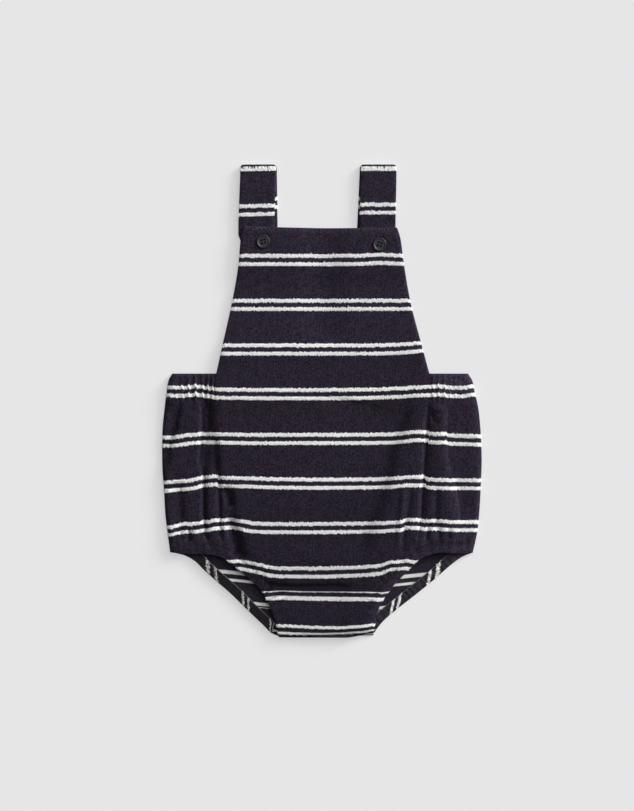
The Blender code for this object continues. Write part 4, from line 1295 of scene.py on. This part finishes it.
# ---- the front ----
@dataclass
class FrontPanel:
    """The front: bib and body cut in one, gathered at the waist's wings and the legs."""

    cut: Cut
    relief: Relief
    stripes: FrontStripes
    seam_roll: float = 5.0
    bib_edge: Pair = (3.0, 1.5)  # how far in the rounding starts, and how far it drops
    waist_edge: Pair = (3.4, 1.5)
    leg_edge: Pair = (2.4, 0.8)
    flat: Pair = (310.0, 385.0)
    flat_area: float = 0.086
    casing_lightening: float = 1.1  # the painted light on the waist casings
    casing_lightening_sides: Pair = (0.8, 1.5)  # its shares on the left and on the right
    leg_casing_lightening: float = 0.8  # and on the leg casings
    leg_casing_lightening_sides: Pair = (0.3, 1.2)
    casing: Pair = (17.0, 22.0)  # where the waist casings end, below the waist
    leg_casing: Pair = (3.0, 9.0)  # where the leg casings end, in from the edge
    leg_sag: float = 0.9  # how far the leg casings lie down on the back's hems
    leg_sag_reach: float = 10.0
    leg_stitches_in: float = 8.0
    bib_stitches_in: float = 1.9
    rim: float = 5.0  # how far in from a side seam the columns lie closest
    rim_columns: int = 9
    wing_columns: int = 50
    bib_rim: float = 3.0  # and how far in from the bib's edge
    middle_from: float = 70.0  # from where they are widest apart
    middle_columns: int = 40

    def columns(self) -> tuple[Array, int, int]:
        """Shares across the waist: close in the wings, wide in the middle.

        Returns:
            The shares, and the columns of the bib's left and right edges.
        """
        waist = self.cut.side_right[0].x - self.cut.side_left[0].x
        left = self.cut.bib_left[-1].x - self.cut.side_left[0].x
        right = self.cut.side_right[0].x - self.cut.bib_right[-1].x
        halves = [
            np.concatenate([
                graded(0.0, self.rim, self.rim_columns, 1.8), graded(self.rim, wing, self.wing_columns),
                graded(wing, wing + self.bib_rim, 6, 1.5), graded(wing + self.bib_rim, self.middle_from, 31),
            ])
            for wing in (left, right)
        ]
        middle = np.linspace(self.middle_from, waist - self.middle_from, self.middle_columns)
        insets = np.concatenate([halves[0], middle, waist - halves[1][::-1]])
        first = self.rim_columns + self.wing_columns
        return insets / waist, first, len(insets) - 1 - first

    def bib_rows(self) -> Array:
        """Shares down the bib, without the waist's row."""
        return np.concatenate([graded(0.0, 0.03, 6, 1.6), graded(0.03, 1.0, 74)])

    def body_rows(self) -> Array:
        """Shares down the body: close at its edges and in the fold at the crotch."""
        return np.concatenate([
            graded(0.0, 0.02, 6, 1.6), graded(0.02, 0.74, 98), graded(0.74, 0.86, 34),
            graded(0.86, 0.975, 15), 1.0 - graded(0.0, 0.025, 9, 1.7)[::-1],
        ])

    def build(self) -> list[Piece]:
        """Builds the panel with its loops and stitches.

        Returns:
            The pieces.
        """
        across, first, last = self.columns()
        bib = self.bib_face((across[first : last + 1] - across[first]) / (across[last] - across[first]))
        body = self.body_face(across, first, last)
        count = len(across)
        grids = []
        for upper, lower in zip(bib, body):
            padded = np.zeros((len(upper), count, *upper.shape[2:]))
            padded[:, first : last + 1] = upper
            grids.append(np.concatenate([padded, lower]))
        cloth = Cloth(*grids)
        kept = np.ones((len(cloth.outer) - 1, count - 1), bool)
        kept[: len(bib.outer), :first] = False
        kept[: len(bib.outer), last:] = False
        panel = wall("front_knit", cloth, (RIGHT_SIDE, WRONG_SIDE), kept)
        loops = LoopPile().grow("front_stripe_loops", panel.data.copy())
        row = StitchRow(NAVY_THREAD, pitch=3.6, length=2.5, radius=0.26)
        stitches = [row.grow("bib_top_stitches", strand("bib_top", self.bib_stitch_line(bib)))]
        for hand, line in zip(("left", "right"), self.leg_stitch_lines(body, across)):
            row = StitchRow(CASING_THREAD, pitch=3.0, length=2.0, radius=0.24)
            stitches.append(row.grow(f"front_leg_stitches_{hand}", strand(f"front_leg_{hand}", line)))
        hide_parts("front_panel")
        return [panel, loops, *stitches]

    def bib_face(self, across: Array) -> Cloth:
        """The bib's two faces."""
        down = self.bib_rows()
        x, y = self.cut.bib(across, down)
        left, right = self.cut.bib_sides()
        top_y = self.cut.bib(across, np.zeros(1))[1]
        to_top = top_y - y
        to_edge = np.minimum(np.minimum(left.distance(x, y), right.distance(x, y)), to_top)
        level = self.relief.level(x, y)
        outer = level - self.bib_edge[1] * (1.0 - rounding(to_edge, self.bib_edge[0]))
        outer -= self.relief.stitched(to_top - self.bib_stitches_in) + self.relief.dimples(x, y)
        # painted light and shade from the bend, and a painted highlight along the bib's edges
        painted_shading = self.relief.painted_shading(x, y, outer) + self.relief.painted_edge_light(to_edge)
        knit = np.stack([x, self.stripes.across(x, y), painted_shading], axis=-1)
        faces = (np.stack([x, y, z], axis=-1) for z in (outer, level - self.relief.faced))
        return Cloth(*faces, knit, np.ones(x.shape))

    def body_face(self, across: Array, first: int, last: int) -> Cloth:
        """The body's two faces.

        Args:
            across: Shares across the waist.
            first: The column of the bib's left edge.
            last: The column of its right edge.

        Returns:
            The faces, from the waist down.
        """
        relief = self.relief
        down = self.body_rows()
        legs = self.cut.front_legs()
        x, y = self.cut.body(legs, across, down)
        left = (across < 0.5)[None, :]
        to_side = np.where(left, *(line.distance(x, y) for line in self.cut.sides()))
        to_leg, along = (np.where(left, *pair) for pair in zip(*(leg.nearest(x, y) for leg in legs)))
        to_crotch = Line((self.cut.front_leg_left[-1], self.cut.front_leg_right[-1])).distance(x, y)
        waist = across * (self.cut.side_right[0].x - self.cut.side_left[0].x)
        off_bib = np.maximum(waist[first] - waist, waist - waist[last])
        below = self.cut.waist_y - y
        ridge = relief.ridges(x, self.cut)
        level = relief.level(x, y) - self.leg_sag * (1.0 - smooth(0.0, self.leg_sag_reach, to_leg))
        outer = level + ridge * relief.gather(below) + relief.puckers(to_leg, along)
        outer -= self.leg_edge[1] * (1.0 - rounding(to_leg, self.leg_edge[0]))
        outer -= relief.stitched(to_leg - self.leg_stitches_in)
        in_casing = (1.0 - smooth(*self.casing, below)) * smooth(0.0, 4.0, off_bib)[None, :]
        in_leg_casing = 1.0 - smooth(*self.leg_casing, to_leg)
        # painted light and shade from the bend, painted light on the casings (more on the right), and a
        # painted highlight along the leg edges
        painted_shading = relief.painted_shading(x, y, outer) + self.casing_lightening * in_casing * np.where(left, *self.casing_lightening_sides)
        painted_shading += relief.painted_edge_light(to_leg) + self.leg_casing_lightening * in_leg_casing * np.where(left, *self.leg_casing_lightening_sides)
        off_edge = 1.0 - rounding(below, self.waist_edge[0])
        outer -= self.waist_edge[1] * smooth(0.0, 1.4, off_bib)[None, :] * off_edge
        rolled = rounding(to_side, self.seam_roll) * rounding(to_crotch, self.seam_roll)
        outer = mix(relief.seam_level, outer, rolled)
        inner = mix(relief.seam_level, level - relief.cloth, rolled)
        inward = relief.cloth * np.where(left, 1.0, -1.0)
        inner_x = x + inward * np.clip(1.0 - to_side / self.seam_roll, 0.0, 1.0)
        inner_y = y + relief.cloth * np.clip(1.0 - to_crotch / self.seam_roll, 0.0, 1.0)
        lift = self.stripes.ridge_lift * np.maximum(ridge, 0.0) * (1.0 - smooth(14.0, 27.0, below))
        knit = np.stack([x, self.stripes.across(x, y - lift), painted_shading], axis=-1)
        faces = np.stack([x, y, outer], axis=-1), np.stack([inner_x, inner_y, inner], axis=-1)
        return Cloth(*faces, knit, np.ones(x.shape))

    def bib_stitch_line(self, bib: Cloth) -> Array:
        """The row of stitches below the bib's top edge."""
        depth = bib.outer[0, :, 1] - bib.outer[:, :, 1]
        columns = range(3, depth.shape[1] - 3)
        return np.array([self.crossing(depth[:, n], bib.outer[:, n], self.bib_stitches_in) for n in columns])

    def leg_stitch_lines(self, body: Cloth, across: Array) -> list[Array]:
        """The rows of stitches that hold the leg casings, a little in from the edges.

        Args:
            body: The body's faces.
            across: Shares across the waist.

        Returns:
            A line of points on each leg, left and right.
        """
        lines = []
        half = len(body.outer) // 2
        sides = across < self.cut.leg_share, across > 1.0 - self.cut.leg_share
        for leg, on_leg in zip(self.cut.front_legs(), sides):
            points = body.outer[half:][::-1][:, on_leg]
            away = leg.distance(points[..., 0], points[..., 1])
            wide = [n for n in range(points.shape[1]) if away[:, n].max() > self.leg_stitches_in]
            line = [self.crossing(away[:, n], points[:, n], self.leg_stitches_in) for n in wide]
            lines.append(np.array(line))
        return lines

    @staticmethod
    def crossing(measure: Array, points: Array, want: float) -> Array:
        """The point of a column where a growing measure passes a value."""
        return np.array([np.interp(want, measure, points[:, axis]) for axis in range(3)])


# ---- the back ----
@dataclass(frozen=True)
class BackStripes:
    """Where the back's stripes run. The legs' elastic draws the cloth up, more so towards the crotch."""

    drawn: Pairs  # (y, the cloth's coordinate)
    tilt: float = 2.8  # the stripes sit lower on the right leg
    sag: float = 0.0  # how much lower they lie for each step towards the crotch

    def across(self, x: Array, y: Array) -> Array:
        """The cloth's coordinate across the stripes."""
        lifted = y + self.tilt * smooth(-50.0, 50.0, x) - self.sag * (np.abs(x) - 70.0)
        return np.interp(lifted, *zip(*self.drawn))


INSIDE_STRIPES = BackStripes((
    (-205.0, -240.0), (-193.8, -229.0), (-173.6, -191.0), (-173.5, -183.4), (-168.3, -177.4),
    (-152.6, -148.9), (-145.8, -141.9), (-60.0, -56.0), (30.0, 34.0),
), sag=0.1)
HEM_STRIPES = BackStripes((
    (-205.0, -238.0), (-200.6, -229.0), (-197.4, -221.5), (-196.0, -217.7), (-178.0, -186.8),
    (-173.4, -179.8), (-153.0, -148.9), (-146.2, -141.9), (-60.0, -56.0), (30.0, 34.0),
))


@dataclass
class BackPanel:
    """The back, flat underneath. Its inside shows below the front's leg edges."""

    cut: Cut
    stripes: BackStripes = INSIDE_STRIPES
    thick: float = 1.8
    wave: float = 0.45  # how deep the legs' elastic draws the cloth into waves
    waves: float = 15.0  # across the panel
    wave_starts: Pair = (0.55, 0.8)  # shares of the way down
    wave_ends: Pair = (0.93, 1.0)
    columns: int = 221
    rows: tuple[int, int] = (60, 100)  # above and below the height from which the legs' stripes crowd
    crowded_from: float = 0.7
    flat: Pair = (310.0, 245.0)
    flat_area: float = 0.066

    def build(self) -> list[Piece]:
        """Builds the panel.

        Returns:
            Its one piece.
        """
        across = np.linspace(0.0, 1.0, self.columns)
        upper = np.linspace(0.0, self.crowded_from, self.rows[0])
        down = np.append(upper, np.linspace(self.crowded_from, 1.0, self.rows[1] + 1)[1:])
        x, y = self.cut.body(self.cut.back_legs(), across, down)
        here = smooth(*self.wave_starts, down) * (1.0 - smooth(*self.wave_ends, down))
        swell = np.sin(2.0 * math.pi * (self.waves * across + 0.35 * np.sin(9.0 * across)))
        uneven = 0.7 + 0.3 * np.sin(23.0 * across)
        dip = self.wave * here[:, None] * (0.5 - 0.5 * swell)[None, :] * uneven[None, :]
        faces = np.stack([x, y, self.thick - dip], axis=-1), np.stack([x, y, np.zeros(x.shape)], axis=-1)
        knit = np.stack([x, self.stripes.across(x, y), np.zeros(x.shape)], axis=-1)
        panel = wall("back_knit", Cloth(*faces, knit, np.zeros(x.shape)), (WRONG_SIDE, RIGHT_SIDE))
        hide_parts("back_panel")
        return [panel]


class Hand(Enum):
    """Which side of the romper, with the way from its leg edge into the cloth."""

    LEFT = 1.0
    RIGHT = -1.0


@dataclass
class TurnedHem:
    """A leg hem of the back, turned to the inside: its right side shows, and its stripes run on round it."""

    hand: Hand
    cut: Cut
    finish: TerryKnit
    # painted light on the hem's knit: below 0 painted shade, above 0 painted light
    painted_hem_light: float
    stripes: BackStripes = HEM_STRIPES
    level: float = 2.1
    width: float = 8.2
    thick: float = 1.4
    covers: Pair = (0.055, 0.95)  # the shares of the leg's edge where it starts and ends
    edge: float = 0.12  # the share of its width that is rounded at each side
    ribs: int = 5
    rib: float = 0.09
    gather: float = 0.22
    gathers: float = 19.0
    columns: int = 240
    slant: float = 0.45  # of the overlock's stitches, in radians
    flat: Pair = (125.0, 10.0)

    def build(self) -> list[Piece]:
        """Builds the hem, its loops and the thread over its raw edge.

        Returns:
            The pieces.
        """
        name = self.hand.name.lower()
        leg = self.cut.back_legs()[0 if self.hand is Hand.LEFT else 1]
        share = np.linspace(*self.covers, self.columns)
        (x, y), (ahead_x, ahead_y) = leg.at(share), leg.at(share + 0.01)
        length = np.hypot(ahead_x - x, ahead_y - y)
        in_x, in_y = self.hand.value * (y - ahead_y) / length, self.hand.value * (ahead_x - x) / length
        rounds = graded(0.0, self.edge, 5, 1.5)
        inset = np.concatenate([rounds, graded(self.edge, 1.0 - self.edge, 18), 1.0 - rounds[::-1]])
        reach = self.width * inset[None, :]
        plan_x, plan_y = x[:, None] + in_x[:, None] * reach, y[:, None] + in_y[:, None] * reach
        rounded = 0.6 + 0.4 * rounding(np.minimum(inset, 1.0 - inset), self.edge)
        ribs = self.rib * np.cos(2.0 * math.pi * self.ribs * inset) * (rounded > 0.99)
        turns = np.linspace(0.0, 2.0 * math.pi * self.gathers, len(share))
        gathers = self.gather * np.sin(turns + 1.1 * np.sin(turns / 3.7))[:, None] * (rounded > 0.9)[None, :]
        top = self.level + self.thick * rounded[None, :] + ribs[None, :] + gathers
        low = np.full(plan_x.shape, self.level)
        mirrored_x, mirrored_y = x[:, None] - in_x[:, None] * reach, y[:, None] - in_y[:, None] * reach
        along = self.stripes.across(mirrored_x, mirrored_y)
        knit = np.stack([mirrored_x, along, np.full(along.shape, self.painted_hem_light)], axis=-1)
        faces = (np.stack([plan_x, plan_y, z], axis=-1) for z in (top, low))
        cloth = Cloth(*faces, knit, np.ones(plan_x.shape))
        hem = wall(f"hem_{name}_knit", cloth, (self.finish, WRONG_SIDE))
        loops = LoopPile(density=0.5, seed=9).grow(f"hem_{name}_stripe_loops", hem.data.copy())
        edge = np.column_stack([plan_x[:, -2], plan_y[:, -2], top[:, -2] + 0.08])
        slant = self.hand.value * self.slant
        row = StitchRow(OVERLOCK_THREAD, pitch=1.25, length=1.5, radius=0.15, slant=slant)
        overlock = row.grow(f"hem_{name}_overlock", strand(f"hem_{name}_edge", edge[3:-3]))
        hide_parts(f"leg_casing_{name}")
        return [hem, loops, overlock]


# ---- straps ----
@dataclass
class Strap:
    """A shoulder strap: a flat tube of knit from behind the bib, over its fold, down to the back's inside."""

    hand: Hand
    front_low: float
    front_top: float
    back_top: float
    back_bib: float
    back_low: float
    stripe_shift: float  # from y to the cloth's coordinate, on the front layer
    stripe_tilt: float
    drawn: float = 1.0  # how much cloth lies in each millimetre of the front layer
    width: float = 30.4
    thick: float = 2.2
    gap: float = 0.3
    top_y: float = 201.1
    front_end_y: float = 122.0
    back_end_y: float = 4.0
    bib_top_y: float = 147.0
    on_back_z: float = 3.2
    on_back_y: Pair = (28.5, 40.0)  # where it comes down from the back's edge
    crown: float = 0.5
    crown_y: Pair = (172.0, 180.0)  # where the crown is full
    pinch: float = 0.06
    crowd: float = 0.9  # how much cloth crowds up towards the fold on the front layer
    crowd_y: Pair = (165.0, 193.0)
    slack: float = 1.6  # and how much of it lies loose again, as a share, where the fold starts
    slack_y: Pair = (192.0, 199.5)
    tuck: float = 0.12  # how far the front end's sides turn in behind the bib
    tuck_y: Pair = (135.0, 142.0)
    slip: float = 2.8  # how much more cloth the fold takes up than its round
    painted_lightening: float = 0.55  # how much lighter it is painted
    rim: float = 2.2  # and how much more painted highlight along its right edge
    left_edge_light: float = 0.5  # the same for its left edge, as a share
    edge_light_reach: float = 0.07  # as a share of half the width
    edge: float = 0.2  # how far in it is rounded, as such a share
    edge_thick: float = 0.45  # its thickness at the very edge, as a share

    def middle_line(self) -> tuple[Array, Array, Array]:
        """Stations down the strap's middle, from its front end to its back end.

        Returns:
            The points, the width at each as a share, and the cloth's coordinate at each.
        """
        front_z, back_z = self.thick + self.gap + self.thick / 2.0, self.thick / 2.0
        radius = (front_z - back_z) / 2.0
        turn_y = self.top_y - radius - self.thick / 2.0
        y = np.linspace(self.front_end_y, turn_y, 56)[:-1]
        full, fading = self.crown_y
        crown = self.crown * smooth(self.bib_top_y, full, y) * (1.0 - smooth(fading, turn_y, y))
        x = mix(self.front_low, self.front_top, smooth(self.bib_top_y, turn_y, y))
        crowded = self.crowd * (self.slack * smooth(*self.slack_y, y) - smooth(*self.crowd_y, y))
        coordinate = y * self.drawn + self.stripe_shift + crowded
        tucked = 1.0 - self.tuck * (1.0 - smooth(*self.tuck_y, y))
        front = np.column_stack([x, y, front_z + crown, tucked, coordinate])
        turn = np.linspace(0.0, 1.0, 17)
        angle = math.pi * turn
        round_the_fold = math.pi * (radius + self.thick / 2.0) + self.slip
        fold = np.column_stack([
            mix(self.front_top, self.back_top, turn), turn_y + radius * np.sin(angle),
            back_z + radius * (1.0 + np.cos(angle)), 1.0 - self.pinch * np.sin(angle),
            coordinate[-1] + round_the_fold * turn,
        ])
        y = np.linspace(turn_y, self.back_end_y, 101)[1:]
        way_up = (y - self.back_end_y) / (self.bib_top_y - self.back_end_y)
        behind_bib = mix(self.back_low, self.back_bib, way_up)
        above_bib = mix(self.back_bib, self.back_top, (y - self.bib_top_y) / (turn_y - self.bib_top_y))
        z = mix(self.on_back_z, back_z, smooth(*self.on_back_y, y))
        x = np.where(y > self.bib_top_y, above_bib, behind_bib)
        coordinate = fold[-1, 4] + turn_y - y
        back = np.column_stack([x, y, z, np.ones(len(y)), coordinate])
        stations = np.concatenate([front, fold, back])
        return stations[:, :3], stations[:, 3], stations[:, 4]

    def build(self) -> list[Piece]:
        """Builds the strap and its loops.

        Returns:
            The pieces.
        """
        name = self.hand.name.lower()
        line, width, coordinate = self.middle_line()
        way = np.gradient(line, axis=0)
        length = np.hypot(way[:, 1], way[:, 2])
        rounds, flat = graded(0.0, self.edge, 6, 1.6), 1.0 - self.edge
        across = np.concatenate([-1.0 + rounds, np.linspace(-flat, flat, 27), 1.0 - rounds[::-1]])
        rounded = mix(self.edge_thick, 1.0, rounding(1.0 - np.abs(across), self.edge))
        half = self.thick / 2.0 * rounded[None, :] / length[:, None]
        x = line[:, 0, None] + across[None, :] * width[:, None] * self.width / 2.0
        faces = []
        for side in (1.0, -1.0):
            y = line[:, 1, None] - side * way[:, 2, None] * half
            z = line[:, 2, None] + side * way[:, 1, None] * half
            faces.append(np.stack([x, y, z], axis=-1))
        along = coordinate[:, None] + self.stripe_tilt * across[None, :]
        insets = 1.0 - across, 1.0 + across
        on_right, on_left = (np.exp(-((inset / self.edge_light_reach) ** 2)) for inset in insets)
        # painted lightening, with a painted highlight along both edges, most on the right
        painted_shading = np.broadcast_to(self.painted_lightening + self.rim * (on_right + self.left_edge_light * on_left), x.shape)
        knit = np.stack([x, along, painted_shading], axis=-1)
        on_top = (line[:, 2] > self.thick + 0.2) & (line[:, 1] > self.front_end_y - 2.0)
        cloth = Cloth(*faces, knit, np.repeat(on_top[:, None], len(across), axis=1).astype(float))
        strap = wall(f"strap_{name}_knit", cloth, (RIGHT_SIDE, RIGHT_SIDE))
        loops = LoopPile(seed=5).grow(f"strap_{name}_stripe_loops", strap.data.copy())
        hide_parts(f"strap_{name}")
        return [strap, loops]


# ---- buttons ----
@dataclass
class Button:
    """A four-hole button, sewn to the bib with two bars of thread."""

    hand: Hand
    x: float
    y: float
    relief: Relief
    turn: float  # of its holes, in radians
    radius: float = 5.75
    thick: float = 2.0
    gap: float = 0.1
    sides: int = 72
    hole_radius: float = 0.98
    hole_spacing: float = 2.7
    thread_radius: float = 0.12
    # half a section as shares of the radius and the thickness, from the middle of the top down
    section: Pairs = (
        (0.0, 0.8), (0.3, 0.8), (0.6, 0.81), (0.7, 0.83), (0.77, 0.9), (0.83, 0.98), (0.88, 1.0),
        (0.93, 0.97), (0.975, 0.86), (1.0, 0.66), (0.99, 0.4), (0.93, 0.18), (0.82, 0.05), (0.6, 0.0),
        (0.3, 0.0), (0.0, 0.0),
    )

    def build(self) -> list[Piece]:
        """Builds the button and its thread.

        Returns:
            The pieces.
        """
        name = self.hand.name.lower()
        base = float(self.relief.level(np.array(self.x), np.array(self.y))) - self.relief.dimple + self.gap
        disc = self.turned(f"button_{name}_turned", base)
        thread = self.thread(f"button_{name}_thread", base)
        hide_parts(f"button_{name}")
        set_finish(disc, "button_plastic")
        return [disc, thread]

    def holes(self) -> list[Pair]:
        """The middles of its four holes."""
        reach = self.hole_spacing / math.sqrt(2.0)
        turns = (self.turn + math.pi / 4.0 + n * math.pi / 2.0 for n in range(4))
        return [(self.x + reach * math.cos(turn), self.y + reach * math.sin(turn)) for turn in turns]

    def turned(self, name: str, base: float) -> Piece:
        """Turns the section round and cuts the holes.

        Args:
            name: The piece's name.
            base: Its lowest level.

        Returns:
            The button.
        """
        profile = Line([Row(r, z) for r, z in self.section]).points[::3]
        profile[:, 0] = np.clip(profile[:, 0], 0.0, None)
        profile[-1] = profile[-1] * (0.0, 1.0)
        radii, heights = profile[:, 0] * self.radius, profile[:, 1] * self.thick
        points = np.column_stack([radii, np.zeros(len(profile)), heights])
        blank = link(name, strand(name, points))
        blank.location = Vector((self.x, self.y, base)) * MM
        spin = blank.modifiers.new("Turn", "SCREW")
        spin.steps = spin.render_steps = self.sides
        spin.use_merge_vertices = True
        spin.merge_threshold = 0.01 * MM
        cutters = [self.cutter(x, y, base) for x, y in self.holes()]
        for cutter in cutters:
            cut = blank.modifiers.new("Hole", "BOOLEAN")
            cut.operation = "DIFFERENCE"
            cut.object = cutter
        mesh = bpy.data.meshes.new_from_object(blank.evaluated_get(bpy.context.evaluated_depsgraph_get()))
        mesh.transform(blank.matrix_world)
        mesh.name = name
        for spent in (blank, *cutters):
            bpy.data.objects.remove(spent)
        mesh.materials.clear()
        mesh.materials.append(ButtonResin().material())
        mesh.shade_smooth()
        mesh.set_sharp_from_angle(angle=math.radians(40.0))
        return link(name, mesh)

    def cutter(self, x: float, y: float, base: float) -> Piece:
        """A cylinder that cuts one hole."""
        depth, place = 4.0 * self.thick * MM, Vector((x, y, base)) * MM
        bpy.ops.mesh.primitive_cylinder_add(
            vertices=20, radius=self.hole_radius * MM, depth=depth, location=place
        )
        return bpy.context.object

    def thread(self, name: str, base: float) -> Piece:
        """Two bars of thread, each down through a pair of holes.

        Args:
            name: The piece's name.
            base: The button's lowest level.

        Returns:
            Both bars, as one piece.
        """
        holes = self.holes()
        well = base + self.section[0][1] * self.thick
        curve = bpy.data.curves.new(name, "CURVE")
        curve.dimensions = "3D"
        curve.bevel_depth = self.thread_radius * MM
        curve.bevel_resolution = 2
        curve.use_fill_caps = True
        for start, end in ((holes[1], holes[0]), (holes[2], holes[3])):
            top = well + self.thread_radius
            bends = [(*(mix(a, b, share) for a, b in zip(start, end)), top) for share in (0.18, 0.82)]
            path = [(*start, base - 0.2), (*start, well), *bends, (*end, well), (*end, base - 0.2)]
            spline = curve.splines.new("POLY")
            spline.points.add(len(path) - 1)
            for point, place in zip(spline.points, path):
                point.co = (*(value * MM for value in place), 1.0)
        bars = bpy.data.objects.new(name, curve)
        bpy.context.scene.collection.objects.link(bars)
        mesh = bpy.data.meshes.new_from_object(bars.evaluated_get(bpy.context.evaluated_depsgraph_get()))
        mesh.name = name
        bpy.data.objects.remove(bars)
        mesh.materials.clear()
        mesh.materials.append(DARK_THREAD.material())
        mesh.shade_smooth()
        return link(name, mesh)


# ---- the studio ----
class Lamp(NamedTuple):
    """A soft light far away, and its share of what falls on the table. Angles are in degrees."""

    name: str
    share: float
    height: float
    bearing: float  # from +X towards +Y
    spread: float

    def build(self) -> None:
        """Builds the light."""
        light = bpy.data.lights.new(self.name, "SUN")
        height, bearing = math.radians(self.height), math.radians(self.bearing)
        light.energy = self.share * math.pi / math.sin(height)
        light.angle = math.radians(self.spread)
        lamp = bpy.data.objects.new(self.name, light)
        flat = math.cos(height)
        towards = Vector((flat * math.cos(bearing), flat * math.sin(bearing), math.sin(height)))
        lamp.rotation_euler = towards.to_track_quat("Z", "Y").to_euler()
        bpy.context.scene.collection.objects.link(lamp)


@dataclass
class Studio:
    """The camera straight above a light table, with soft light from the upper right."""

    view_height: float = 689.35
    aim: Pair = (-4.25, -3.6)
    lens: float = 100.0
    sensor: float = 36.0
    table_size: float = 6000.0
    lamps: tuple[Lamp, ...] = (
        Lamp("low_softbox", 0.42, 20.0, 35.0, 20.0),
        Lamp("high_softbox", 0.28, 45.0, 40.0, 40.0),
        Lamp("ceiling", 0.22, 78.0, 45.0, 80.0),
    )
    room: float = 0.08

    def build(self) -> None:
        """Builds the camera, the lights and the floor."""
        scene = bpy.context.scene
        scene.view_settings.view_transform = "Standard"
        camera = bpy.data.objects.new("camera", bpy.data.cameras.new("camera"))
        camera.data.lens = self.lens
        camera.data.sensor_width = self.sensor
        camera.data.clip_end = 50.0
        camera.location = Vector((*self.aim, self.view_height * self.lens / self.sensor)) * MM
        scene.collection.objects.link(camera)
        scene.camera = camera
        for lamp in self.lamps:
            lamp.build()
        world = bpy.data.worlds.new("studio")
        world.use_nodes = True
        world.node_tree.nodes["Background"].inputs["Strength"].default_value = self.room
        world.node_tree.nodes["Background"].inputs["Color"].default_value = (1.0, 1.0, 1.0, 1.0)
        scene.world = world
        bpy.ops.mesh.primitive_plane_add(size=self.table_size * MM, location=(0.0, 0.0, -0.0002))
        table = bpy.context.object
        table.name = "table"
        table.data.materials.append(LightTable().material())


def main() -> None:
    """Builds every piece in order, and reports each."""
    logging.basicConfig(level=logging.INFO, format="%(name)s: %(message)s")
    cut, relief = Cut(), Relief()
    assemblies = [
        BackPanel(cut),
        # the left hem's knit is painted in shade, the right one's painted lit
        TurnedHem(Hand.LEFT, cut, LEFT_HEM, painted_hem_light=-0.4),
        TurnedHem(Hand.RIGHT, cut, RIGHT_HEM, painted_hem_light=1.8),
        Strap(Hand.LEFT, -55.8, -54.2, -53.6, -52.9, -44.0, stripe_shift=-4.5, stripe_tilt=-0.4),
        Strap(Hand.RIGHT, 47.2, 48.0, 47.4, 45.0, 36.0, stripe_shift=-11.53, stripe_tilt=0.0, drawn=1.035),
        FrontPanel(cut, relief, FrontStripes()),
        Button(Hand.LEFT, *relief.buttons[0], relief, turn=0.2),
        Button(Hand.RIGHT, *relief.buttons[1], relief, turn=-0.32),
    ]
    Studio().build()
    for assembly in assemblies:
        for piece in assembly.build():
            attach(piece, ROOT)
            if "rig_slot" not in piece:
                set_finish(piece, "striped_knit")
            LOG.info("%s: %d faces", piece.name, len(piece.data.polygons))


if __name__ == "__main__":
    main()
